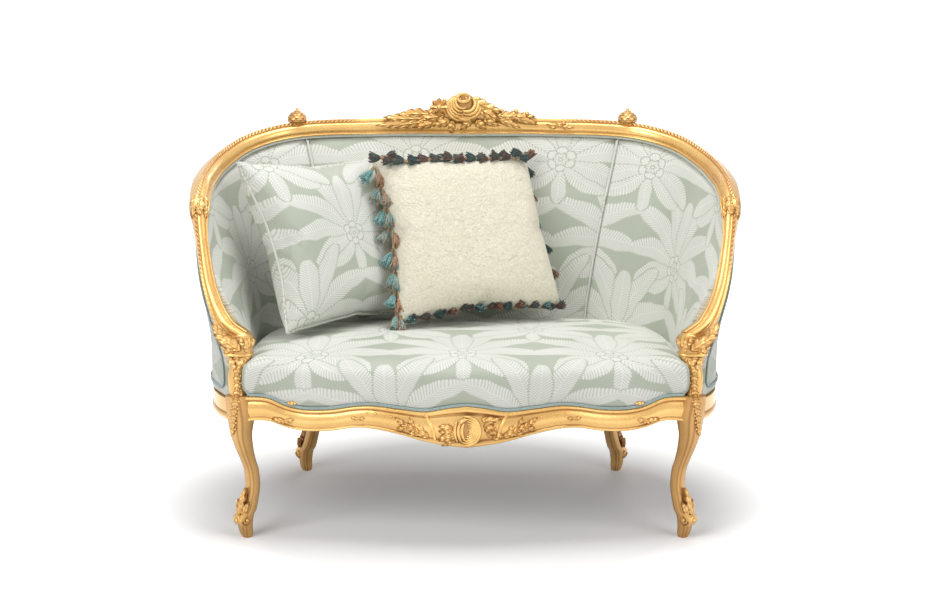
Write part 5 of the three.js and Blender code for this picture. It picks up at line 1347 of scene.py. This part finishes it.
def covering(part, u0, u1, columns, x0):
    """A stretched outside cover; gives back its area, width and length."""
    v = np.linspace(0.0, 1.0, 46)
    us = np.linspace(u0, u1, columns)
    near, far = tub_grid(us, v, 1.0), tub_grid(us, v, 0.96)
    if u1 > SEAM_U:
        reach = (1 - 0.6 * smooth(v, 0.55, 0.8))[:, None]
        near, far = (np.concatenate([g, (g[-1] + EDGE_RETURN * reach)[None]]) for g in (near, far))
    slab(part, near, far, cloth_uv(near, 22, x0))
    return grid_area(near)


def upholstered(name, build, u_side, x0, nodes, columns):
    """The back panel and both side panels of one layer of the tub, padded or of stretched cloth."""
    back, side = Part(), Part()
    back_cut = build(back, -SEAM_U, SEAM_U, columns, -x0)
    side_cut = build(side, *u_side, columns + 30, x0)
    for word, part, suffix, cut in (("back", back, "", back_cut), ("arm", side, "_right", side_cut),
                                    ("arm", side.mirror(), "_left", side_cut)):
        obj = part.make(name.format(word) + suffix, damask, 60)
        dress(obj, "frame", "damask", nodes.format(word) + suffix)
        if cut is None:
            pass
        else:
            area, width, length = cut


# The rails to which each outside cover is tacked.
TACKED = {f"arm_{side}": [f"side_rail_moulded_{side}", f"top_rail_moulded_{side}"]
          for side in ("right", "left")}
TACKED["back"] = ["rear_rail_shaped", "crest_rail_carved"]
upholstered("inside_{}_padded", padding, (SEAM_U + 0.0015, 0.998), 415, "inside_{}_pad", 120)
upholstered("outside_{}_cloth", covering, (SEAM_U + 0.0006, 1.0), 440, "outside_{}_cover", 90)


def double_welt(part, path, out, over, radius, closed=False):
    """Two cords side by side."""
    for sign in (-1, 1):
        tube(part, path + over * sign * radius * 0.92 + out * radius * 0.4, radius, out, 9, closed)


def seam_cord(part):
    """The piping of the seam between the back and a side."""
    v = np.linspace(0.1, 0.985, 70)
    grid = tub_grid([SEAM_U], v, 0.0)[0]
    away = unit((tub_grid([SEAM_U], v, 0.5)[0] - grid) * [1, 1, 0])
    tube(part, grid + away * 2.5, 3.4, -away[35], 10)


def inner_welt(part):
    """The double welt under the rail, along the padding's edge."""
    ks = np.linspace(-KNUCKLE, KNUCKLE, 460)
    path, lower = (np.array([on_rail(k, 0.34, h) for k in ks]) for h in (-0.57, -0.75))
    double_welt(part, path, np.array([line_frame(k)[2] for k in ks]), unit(path - lower), 1.4)


def outside_gimp(part):
    """The gimp right round the outside cover, its lower corners rounded."""
    low, high, end, corner_u, corner_v = 0.035, 0.965, 0.985, 0.05, 0.07
    a = np.radians(np.linspace(0, 90, 9))
    corner = np.stack([end - corner_u * (1 - np.cos(a)), low + corner_v * (1 - np.sin(a))], 1)
    down = np.stack([np.full(40, end), np.linspace(high, low + corner_v, 40)], 1)
    along = np.linspace(end - corner_u, -(end - corner_u), 160)
    right = np.concatenate([down, corner[1:]])
    back_along = np.linspace(-end, end, 160)[1:-1]
    places = np.concatenate([right, np.stack([along, np.full(160, low)], 1)[1:-1], (right * [-1, 1])[::-1],
                             np.stack([back_along, np.full(158, high)], 1)])
    path, inner = (np.array([tub_grid([u], np.array([v]), share, lift)[0, 0] for u, v in places])
                   for share, lift in ((1.0, 2.0), (0.5, 0.0)))
    out = unit((path - inner) * [1, 1, 0])
    way = unit(np.roll(path, -1, 0) - np.roll(path, 1, 0))
    double_welt(part, path, out, unit(np.cross(way, out)), 1.9, True)


pair("back_seam_piping", seam_cord, "back_seam", damask, None, "damask")
single("inner_double_welt", inner_welt, "inner_welt", mat=edging, sharp=None, slot="trim")
single("outside_double_welt", outside_gimp, mat=gimp, sharp=None, slot="trim")

# The seat: cover and stuffing as one padded form over the spring field
SEAT_CROWN, SEAT_ROLL = 452, 14
SEAT_MIDDLE = np.array([0, 0.44 * SEAT_Y, 0])
# The seat's side, from its foot to the crown: inset in rolls, and share of the rise.
SEAT_SIDE_SHARES = np.array([
    [1.2, 0, 0], [0, 0.0, 0], [-.9, .26, 0], [-.8, .56, 0], [.5, .79, 0], [4, .91, 0], [11, .98, 0],
    [17, 1, 0]])
SIDE_ROWS, TOP_ROWS, PIVOT = 56, 21, 38                   # PIVOT: the row from which the cloth lies flat
TOP_DOME = 1.6
UNDER = [(0.998, None), (0.985, 352), (0.945, 380), (0.5, 380), (0.02, 380)]       # share of the plan, height


def seat_outline():
    """The seat's outline in plan with its foot's height, from the front left corner round."""
    x = np.linspace(-SEAT_X, SEAT_X, 150)
    front = np.stack([x, front_y(x) - 4, front_top(x) + 0.3], 1)
    right = np.array([inner_line((1 + 7 * u) / 8) + [0, 0, PAD_FOOT] for u in np.linspace(1, 0, 90)[:-1]])
    return np.concatenate([front, right, [[0, SEAT_Y, PAD_FOOT]], right[::-1] * [-1, 1, 1]])


def seat_rings(outline):
    """The seat's rings from the middle underneath, round the side, to the middle on top."""
    side_rows = curve(SEAT_SIDE_SHARES)
    span_x = outline[:, 0].max()
    span_y = np.mean(np.abs([outline[:, 1].max() - SEAT_MIDDLE[1], outline[:, 1].min() - SEAT_MIDDLE[1]]))
    rings = []
    for share, z in UNDER[::-1]:
        p = (outline - SEAT_MIDDLE) * [share, share, 1] + SEAT_MIDDLE
        p[:, 2] = p[:, 2] + 0.5 if z is None else z
        rings.append(p)
    for t in np.linspace(0, 1, SIDE_ROWS):
        inset, rise, _ = side_rows(t)
        d = inset * SEAT_ROLL
        p = (outline - SEAT_MIDDLE) * [1 - d / span_x, 1 - d / span_y, 1] + SEAT_MIDDLE
        p[:, 2] = outline[:, 2] + (SEAT_CROWN - outline[:, 2]) * rise
        rings.append(p)
    flat = rings[-1]
    for share in np.linspace(0.92, 0.0, TOP_ROWS + 1)[:-1]:
        p = (flat - SEAT_MIDDLE) * [share, share, 1] + SEAT_MIDDLE
        p[:, 2] = SEAT_CROWN + TOP_DOME * (1 - share)
        rings.append(p)
    return np.array(rings)


def seat_form(part):
    """Cover and stuffing; the cloth runs straight over the top, and down each side in its own length."""
    outline = seat_outline()
    rings = seat_rings(outline)
    turn = len(UNDER) + PIVOT
    run = np.array([run_length(rings[:, i]) for i in range(rings.shape[1])]).T
    ahead = np.roll(outline, -1, 0) - np.roll(outline, 1, 0)
    away = unit(np.stack([ahead[:, 1], -ahead[:, 0]], 1))
    fall = np.clip(run[turn][None] - run, 0, 150)[..., None]
    uv = np.where(np.arange(len(rings))[:, None, None] < turn, rings[turn][None, :, :2] + away[None] * fall,
                  rings[..., :2])
    loft(part, rings, None, True, uv)


single("seat_stuffed_form", seat_form, "seat_cover", "seat_stuffing", mat=damask, sharp=None,
                 slot="damask")


def seat_gimp(part):
    """Along the front rail, and up beside each arm front."""
    x = np.linspace(-(LEG_TOP_X - 28), LEG_TOP_X - 28, 300)
    path = np.stack([x, front_y(x) - 4, front_top(x) + 3.4], 1) + front_out(x) * 6.5
    rise = np.linspace(0, 1, 16)[1:]
    up_right = path[-1] + np.stack([5 * np.sin(rise * 3), 7 * rise ** 1.5, 62 * rise], 1)
    path = resample(np.concatenate([(up_right * [-1, 1, 1])[::-1], path, up_right]), 3.5)
    out = front_out(np.clip(path[:, 0], -LEG_X, LEG_X))
    way = unit(np.gradient(path, axis=0))
    double_welt(part, path, out, unit(np.cross(out, way)), 1.6)


single("seat_double_welt", seat_gimp, "seat_gimp", mat=gimp, sharp=None, slot="trim")


# Under the seat: hessian over the springs, webbing below them, and the dust cover
def frame_line(gap):
    """The line inside the seat rails and the legs, from the front left corner round."""
    x = np.linspace(-470, 470, 60)
    front = np.stack([x, front_y(x) + RAIL_THICK / 2 + gap], 1)
    side = np.array([side_rail_curve(t)[:2] for t in np.linspace(0.1, 0.9, 40)])
    side = side - unit(side - [0, 250]) * (RAIL_THICK / 2 + gap)
    rear = np.stack([np.linspace(370, -370, 40), np.full(40, 515 - RAIL_THICK / 2 - gap)], 1)
    return np.concatenate([front, side, rear, side[::-1] * [-1, 1]])


def stretched(name, rows, node_name, mat, slot, thick):
    """A sheet in rings about the seat's middle: rows of plan share and height; flat, it is its outline."""
    line = frame_line(1.5)
    middle = np.array([0, 245.0])
    rings = np.array([np.c_[(line - middle) * share + middle, np.full(len(line), float(z))]
                      for share, z in rows])
    n, m = rings.shape[:2]
    centre = np.array([[*middle, rows[-1][1]]])
    j = np.arange(m)
    tris = np.stack([(n - 1) * m + j, (n - 1) * m + (j + 1) % m, np.full(m, n * m)], 1)
    part = Part()
    verts = np.concatenate([rings.reshape(-1, 3), centre])
    part.add(verts, grid_faces(n, m, True), tris, verts[:, :2])
    obj = part.make(name, mat)
    body = obj.modifiers.new("thickness", "SOLIDIFY")
    body.thickness = thick * MM
    dress(obj, "frame", slot, node_name)


SPRINGS = [f"seat_spring_{i}" for i in range(1, 7)]
# The two sheets from their rim to their middle: share of the plan, and height.
DUST_ROWS = [(1, 284), (0.97, 283.4), (0.8, 281.5), (0.5, 280), (0.25, 279.5)]
HESSIAN_ROWS = [(1, 332), (0.9, 334), (0.82, 355), (0.74, 373), (0.5, 374), (0.2, 374)]
stretched("dust_cover_sheet", DUST_ROWS, "dust_cover", cambric, "cambric", 0.8)
stretched("hessian_stretched", HESSIAN_ROWS, "hessian_sheet", jute, "jute", 1.2)
STRAP_Z, LONG_Y, CROSS_X = 287.3, (137, 257, 377), 427
STRAP_CORNERS = ((-25, -0.7), (25, -0.7), (25, 0.7), (-25, 0.7))
STRAP_WAVE, CROSS_STEP, LONG_STEP = 1.4, 171, 120          # the weave's height, and the straps' spacing


def webbing(part):
    """Three long straps and six across, woven over and under each other."""
    straps = [(True, y, -560, 560) for y in LONG_Y]
    straps += [(False, x, 25 if abs(x) > 300 else -30, 497) for x in np.linspace(-CROSS_X, CROSS_X, 6)]
    for index, (is_long, place, low, high) in enumerate(straps):
        s = np.linspace(low, high, 90)
        if is_long:
            weave = np.cos(math.pi * s / CROSS_STEP) * (-1) ** index
        else:
            weave = -np.cos(math.pi * (s - LONG_Y[0]) / LONG_STEP)
        z = STRAP_Z + STRAP_WAVE * weave
        rings = [[[a, place + w, h + t] if is_long else [place - w, a, h + t] for w, t in STRAP_CORNERS]
                 for a, h in zip(s, z)]
        loft(part, rings)


single("webbing_woven", webbing, "seat_webbing", mat=jute, sharp=40, slot="jute")

# CAD solids that stay in the picture.
BLOCKS = [f"corner_block_{end}_{side}" for end in ("front", "rear") for side in ("left", "right")]
for mat, names in ((beech, BLOCKS), (steel, SPRINGS)):
    for name in names:
        mesh_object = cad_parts[name]
        for material_slot in mesh_object.material_slots:
            material_slot.material = mat
        if not mesh_object.material_slots:
            mesh_object.data.materials.append(mat)

# Loose cushions, modelled in their own frames: X across, Y up the cushion and Z out of its face
THICK = 135


def pose_matrix(turn, lean, roll, node_name):
    """A cushion's place: turned about the vertical, leant back and rolled in its plane, in degrees."""
    turn, lean, roll = (math.radians(a) for a in (turn, lean, roll))
    across = Vector((math.cos(turn), math.sin(turn), 0))
    outward = Vector((math.sin(turn), -math.cos(turn), 0))
    normal = outward * math.cos(lean) + Vector((0, 0, 1)) * math.sin(lean)
    m = Matrix((across, normal.cross(across), normal)).transposed().to_4x4() @ Matrix.Rotation(roll, 4, "Z")
    low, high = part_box(node_name)
    m.translation = (low + high) / 2
    return m


class Plan:
    """Plan of a cushion: a square with blunt corners whose sides draw in, each corner slumped its own way."""

    def __init__(self, size, draw, blunt, slumps):
        self.size, self.draw, self.blunt, self.slumps = size, draw, blunt, slumps

    def at(self, sx, sy):
        """The place in the cushion's plane of a point of the square from -1 to 1."""
        half = self.size / 2 * (1 - self.blunt * np.abs(sx * sy) ** 5)
        x = sx * (1 - self.draw * (1 - sy ** 2)) * half
        y = sy * (1 - self.draw * (1 - sx ** 2)) * half
        for side, end, dx, dy in self.slumps:
            corner = ((1 + side * sx) * (1 + end * sy) / 4) ** 2
            x = x + dx * corner
            y = y + dy * corner
        return x, y


# Corners as side and end of the square, and how far each has slumped.
corner_plan = Plan(456, 0.085, 0.03, [(-1, 1, -22, 4), (1, 1, 0, -22), (-1, -1, -6, 16)])
tassel_plan = Plan(446, 0.06, 0.025, [(1, 1, -30, -20)])
CELLS = 72
RIM_SPREAD = 0.43                       # share of a half turn: the cells draw together towards the rim


def pillow(name, plan, mat, pressure):
    """Two square panels sewn at the rim and blown up as cloth."""
    n = CELLS + 1
    s = np.sin(np.linspace(-1, 1, n) * math.pi * RIM_SPREAD) / math.sin(math.pi * RIM_SPREAD)
    sx, sy = np.meshgrid(s, s)
    full = np.sqrt(np.clip((1 - sx ** 4) * (1 - sy ** 4), 0, 1))
    x, y = plan.at(sx, sy)
    inner = (np.abs(sx) < 0.9999) & (np.abs(sy) < 0.9999)
    front_index = np.arange(n * n).reshape(n, n)
    rear_index = front_index.copy()
    rear_index[inner] = n * n + np.arange(inner.sum())
    front = np.stack([x, y, full * THICK / 2], -1).reshape(-1, 3)
    rear = np.stack([x, y, -full * THICK / 2], -1)[inner]
    uv = np.stack([sx, sy], -1) * plan.size / 2
    q = grid_faces(n, n)
    part = Part()
    part.add(np.concatenate([front, rear]), np.concatenate([q, rear_index.reshape(-1)[q][:, ::-1]]), None,
             np.concatenate([uv.reshape(-1, 2), uv[inner]]))
    obj = part.make(name, mat, None, local=True)
    inflate(obj, pressure)
    edge = np.concatenate([front_index[0, :-1], front_index[:-1, -1], front_index[-1, :0:-1],
                           front_index[:0:-1, 0]])
    rim = np.array([obj.data.vertices[i].co for i in edge]) / MM
    for _ in range(3):
        rim = (np.roll(rim, 1, 0) + 2 * rim + np.roll(rim, -1, 0)) / 4
    return obj, rim


CLOTH_FRAMES, MOVE_CAP = 20, 0.02       # the cap in metres


def inflate(obj, pressure):
    """Cloth under light pressure, its result kept in the mesh with no point moved past MOVE_CAP."""
    before = np.empty(len(obj.data.vertices) * 3, np.float32)
    obj.data.vertices.foreach_get("co", before)
    cloth = obj.modifiers.new("cloth", "CLOTH")
    settings = cloth.settings
    settings.quality = 6
    settings.mass = 0.25
    settings.tension_stiffness = settings.compression_stiffness = 12
    settings.shear_stiffness = 4
    settings.bending_stiffness = 0.35
    settings.use_pressure = True
    settings.uniform_pressure_force = pressure
    settings.effector_weights.gravity = 0
    cloth.point_cache.frame_start, cloth.point_cache.frame_end = 1, CLOTH_FRAMES
    scene = bpy.context.scene
    for f in range(1, CLOTH_FRAMES + 1):
        scene.frame_set(f)
    evaluated = obj.evaluated_get(bpy.context.evaluated_depsgraph_get())
    after = np.empty_like(before)
    evaluated.data.vertices.foreach_get("co", after)
    scene.frame_set(1)
    obj.modifiers.remove(cloth)
    move = (after - before).reshape(-1, 3)
    move -= move.mean(0)
    length = np.linalg.norm(move, axis=1, keepdims=True)
    move *= np.minimum(1, MOVE_CAP / np.maximum(length, 1e-9))
    obj.data.vertices.foreach_set("co", (before.reshape(-1, 3) + move).astype(np.float32).ravel())
    obj.data.update()


def beyond(rim, out):
    """The rim's closed line moved outwards in its plan."""
    way = np.roll(rim, -1, 0) - np.roll(rim, 1, 0)
    return rim + unit(np.stack([way[:, 1], -way[:, 0], 0 * way[:, 0]], 1)) * out


def loose(obj, pose, body, node_name, slot):
    """A piece of a cushion, set in the cushion's place."""
    obj.matrix_world = pose
    return dress(obj, body, slot, node_name)


corner_pose = pose_matrix(46, 21, 0, "corner_cushion")
tassel_pose = pose_matrix(17, 24, 2, "tassel_cushion")
cushion, corner_rim = pillow("corner_cushion_cover", corner_plan, damask, 1.6)
loose(cushion, corner_pose, "corner_cushion", "corner_cushion", "damask")
piping = Part()
tube(piping, beyond(corner_rim, 2.0), 3.4, UP, 10, closed=True)
loose(piping.make("corner_cushion_self_piping", damask, None, local=True), corner_pose, "corner_cushion",
      "corner_cushion_piping", "damask")
cushion, tassel_rim = pillow("tassel_cushion_cover", tassel_plan, pile, 1.4)
loose(cushion, tassel_pose, "tassel_cushion", "tassel_cushion", "cream_cloth")

# Tassels of one side: turn about the cushion, and for each row of them their number, their two thread
# colours in turn, the lay out of the cushion's plane and sway in it, in degrees, and in millimetres the
# shift along the side, distance in from the rim, lift off the cushion's middle plane, length and radius.
STRANDS, KNOT_RADIUS = 40, 4.4
DARK = [("brown", "green"), ("green", "green"), ("green", "brown"), ("brown", "copper"), ("green", "teal")]
DARKEST = [("green", "green"), ("brown", "green"), ("green", "brown"), ("brown", "brown"), ("green", "green")]
LIVELY = [("green", "teal"), ("brown", "green"), ("green", "green"), ("brown", "copper"), ("green", "brown")]
SIDE = [("green", "teal"), ("brown", "copper"), ("green", "green")]
BRIGHT = [("teal", "teal"), ("teal", "copper"), ("copper", "copper"), ("copper", "teal"), ("teal", "copper")]
FRINGES = {
    "bottom": (0, [(12, LIVELY, -62, 76, 0, 2, 2, 36, 11), (6, DARK, -50, -70, 24, 6, 4, 34, 10)]),
    "right": (90, [(6, SIDE, 22, -56, 10, 4, -8, 42, 12), (1, SIDE[1:2], -4, 52, 196, 4, 0, 40, 13)]),
    "top": (180, [(13, DARKEST, -2, 84, 0, 20, 54, 36, 14), (7, DARKEST, 4, -84, 16, 20, 54, 34, 13)]),
    "left": (-90, [(8, BRIGHT[:2], 0, 56, 0, -1, 9, 50, 13), (8, BRIGHT[2:], -8, 80, 8, 5, 14, 50, 13)]),
}


def tassel(parts, keys, matrix, length, radius, seed):
    """A knotted head, a bound neck and a skirt of threads of two colours, hanging along minus Y."""
    rng = np.random.default_rng(seed)
    m = np.array(matrix)

    def put(p):
        """Points of the tassel's own frame in the cushion's."""
        return np.asarray(p) @ m[:3, :3].T + m[:3, 3]

    neck = length * 0.26
    t = np.linspace(0, 1, 6)
    for i in range(STRANDS):
        a = 2.4 * i
        share = math.sqrt((i + 0.5) / STRANDS)
        r = 2.6 * share + (radius * rng.uniform(0.75, 1.25) - 2.6) * share * t ** 0.7
        wave = rng.uniform(-1, 1, 2) * 1.8
        y = -neck - (length * rng.uniform(0.86, 1.04) - neck) * t
        path = np.stack([r * math.cos(a) + wave[0] * np.sin(t * 4), y,
                         r * math.sin(a) + wave[1] * np.sin(t * 3.3)], 1)
        tube(parts[keys[i % 5 > 2]], put(path), 1.4, m[:3, :3] @ [1, 0.3, 0.2], 5)
    ball(parts["knot"], put([0, -length * 0.1, 0]), KNOT_RADIUS, 0.2)
    a = np.linspace(0, 2 * math.pi, 12, endpoint=False)
    for share in (0.21, 0.26):
        ring = np.stack([3.6 * np.cos(a), np.full(12, -length * share), 3.6 * np.sin(a)], 1)
        tube(parts["knot"], put(ring), 1.1, m[:3, 1], 6, closed=True)


def join_parts(name, parts, header):
    """One object from the header and the coloured parts, a material slot for each."""
    objects = [p.make(f"{name}_{key}", THREADS[key], None, local=True) for key, p in parts.items() if p.count]
    objects.append(header.make(f"{name}_cord", fringe_cord, None, local=True))
    with bpy.context.temp_override(active_object=objects[0], selected_objects=objects,
                                   selected_editable_objects=objects):
        bpy.ops.object.join()
    objects[0].name = name
    return objects[0]


for side_index, (word, (turn, kinds)) in enumerate(FRINGES.items()):
    parts = {key: Part() for key in THREADS}
    header = Part()
    spin = Matrix.Rotation(math.radians(turn), 4, "Z")
    # The rim's four sides run round from the bottom left corner by the right.
    sides = len(tassel_rim) // 4
    first = turn % 360 // 90 * sides
    side = np.roll(beyond(tassel_rim, 1.0), -first, 0)[:sides + 1]
    run = run_length(side)
    tube(header, side[1:-1], 2.0, UP, 8)
    rng = np.random.default_rng(side_index)
    for row, (count, colours, lay, sway, shift, inset, lift, length, radius) in enumerate(kinds):
        for i in range(count):
            share = (i + 0.5) / count + shift / tassel_plan.size
            at = [np.interp(share * run[-1], run, side[:, axis]) for axis in range(3)]
            local = spin.inverted() @ Vector(at)
            hang = Matrix.Rotation(math.radians(sway + rng.uniform(-12, 12)), 4, "Z")
            hang = hang @ Matrix.Rotation(math.radians(lay + rng.uniform(-10, 10)), 4, "X")
            place = spin @ Matrix.Translation((local.x, local.y + inset, local.z + lift)) @ hang
            tassel(parts, colours[i % len(colours)], place, length * rng.uniform(0.9, 1.08), radius,
                   100 * side_index + 20 * row + i)
    fringe = join_parts(f"tassel_fringe_{word}", parts, header)
    loose(fringe, tassel_pose, "tassel_cushion", f"fringe_{word}", "tassel_fringe")


# Floor, light and camera
def seen_ray(tree):
    """1 for what the camera, a mirror or glass sees, and 0 for the light that falls on things."""
    path = node(tree, "ShaderNodeLightPath").outputs
    return calc(tree, "MAXIMUM", path["Is Camera Ray"],
                calc(tree, "MAXIMUM", path["Is Glossy Ray"], path["Is Transmission Ray"]))


AMBIENT, FLOOR_GREY, FLOOR_GLOW, FAR_GLOW = 0.25, 0.86, 0.08, 0.9
FLOOR_FADE = (0.55, 1.05)               # metres from the middle between which the shadow fades out
world = bpy.data.worlds.new("studio")
bpy.context.scene.world = world
world.use_nodes = True
background = world.node_tree.nodes["Background"]
background.inputs["Color"].default_value = (1, 1, 1, 1)
seen = calc(world.node_tree, "MULTIPLY", seen_ray(world.node_tree), 1 - AMBIENT)
world.node_tree.links.new(calc(world.node_tree, "ADD", AMBIENT, seen), background.inputs["Strength"])


def add_floor():
    """A floor that keeps the shadow near the seat and fades to white away from it."""
    mesh = bpy.data.meshes.new("floor")
    mesh.from_pydata([(-40, -40, 0), (40, -40, 0), (40, 60, 0), (-40, 60, 0)], [], [(0, 1, 2, 3)])
    floor = bpy.data.objects.new("floor", mesh)
    bpy.context.scene.collection.objects.link(floor)
    mat = bpy.data.materials.new("floor")
    mat.use_nodes = True
    tree = mat.node_tree
    tree.nodes.clear()
    out = node(tree, "ShaderNodeOutputMaterial")
    diffuse = node(tree, "ShaderNodeBsdfDiffuse")
    diffuse.inputs["Color"].default_value = (FLOOR_GREY, FLOOR_GREY, FLOOR_GREY, 1)
    glow = node(tree, "ShaderNodeEmission")
    glow.inputs["Color"].default_value = (1, 1, 1, 1)
    far = node(tree, "ShaderNodeVectorMath", operation="LENGTH")
    tree.links.new(node(tree, "ShaderNodeNewGeometry").outputs["Position"], far.inputs[0])
    reach = calc(tree, "MULTIPLY", ramp(tree, far.outputs["Value"], *FLOOR_FADE), FAR_GLOW)
    strength = calc(tree, "MULTIPLY", seen_ray(tree), calc(tree, "ADD", FLOOR_GLOW, reach))
    tree.links.new(strength, glow.inputs["Strength"])
    both = node(tree, "ShaderNodeAddShader")
    tree.links.new(diffuse.outputs[0], both.inputs[0])
    tree.links.new(glow.outputs[0], both.inputs[1])
    tree.links.new(both.outputs[0], out.inputs["Surface"])
    mesh.materials.append(mat)


def area_light(name, place, target, size, power):
    """A round soft lamp aimed at a target."""
    data = bpy.data.lights.new(name, "AREA")
    data.shape = "DISK"
    data.size = size
    data.energy = power
    lamp = bpy.data.objects.new(name, data)
    lamp.location = place
    lamp.rotation_euler = (Vector(target) - Vector(place)).to_track_quat("-Z", "Y").to_euler()
    bpy.context.scene.collection.objects.link(lamp)


add_floor()
# Place, target, size in metres and power in watts.
LAMPS = {
    "key": ((-2.2, -2.6, 2.6), (0, 0, 0.5), 2.4, 74),
    "top": ((0.1, -0.1, 3.2), (0, 0, 0.4), 1.6, 50),
    "fill": ((2.6, -2.4, 1.8), (0, 0, 0.5), 2.4, 40),
    "back": ((0.8, 3.4, 1.8), (0, 0, 0.5), 2.0, 24),
}
for name, facts in LAMPS.items():
    area_light(name, *facts)

# The photograph's width, focal length and middle in pixels, and the camera's pitch, shift, distance and
# height in degrees and metres.
WIDTH, FOCAL, MIDDLE_X, PITCH = 943, 1750, 433.3, 11
CAMERA_X, CAMERA_DISTANCE, CAMERA_HEIGHT = -0.075, 3.95, 1.337
camera_data = bpy.data.cameras.new("camera")
camera_data.sensor_width = 36
camera_data.lens = FOCAL / WIDTH * camera_data.sensor_width
camera_data.shift_x = (WIDTH / 2 - MIDDLE_X) / WIDTH
camera_data.clip_end = 200
camera = bpy.data.objects.new("camera", camera_data)
camera.location = (CAMERA_X, FEET_Y - CAMERA_DISTANCE, CAMERA_HEIGHT)
camera.rotation_euler = (math.radians(90 - PITCH), 0, 0)
bpy.context.scene.collection.objects.link(camera)
bpy.context.scene.camera = camera
bpy.context.scene.view_settings.view_transform = "Standard"
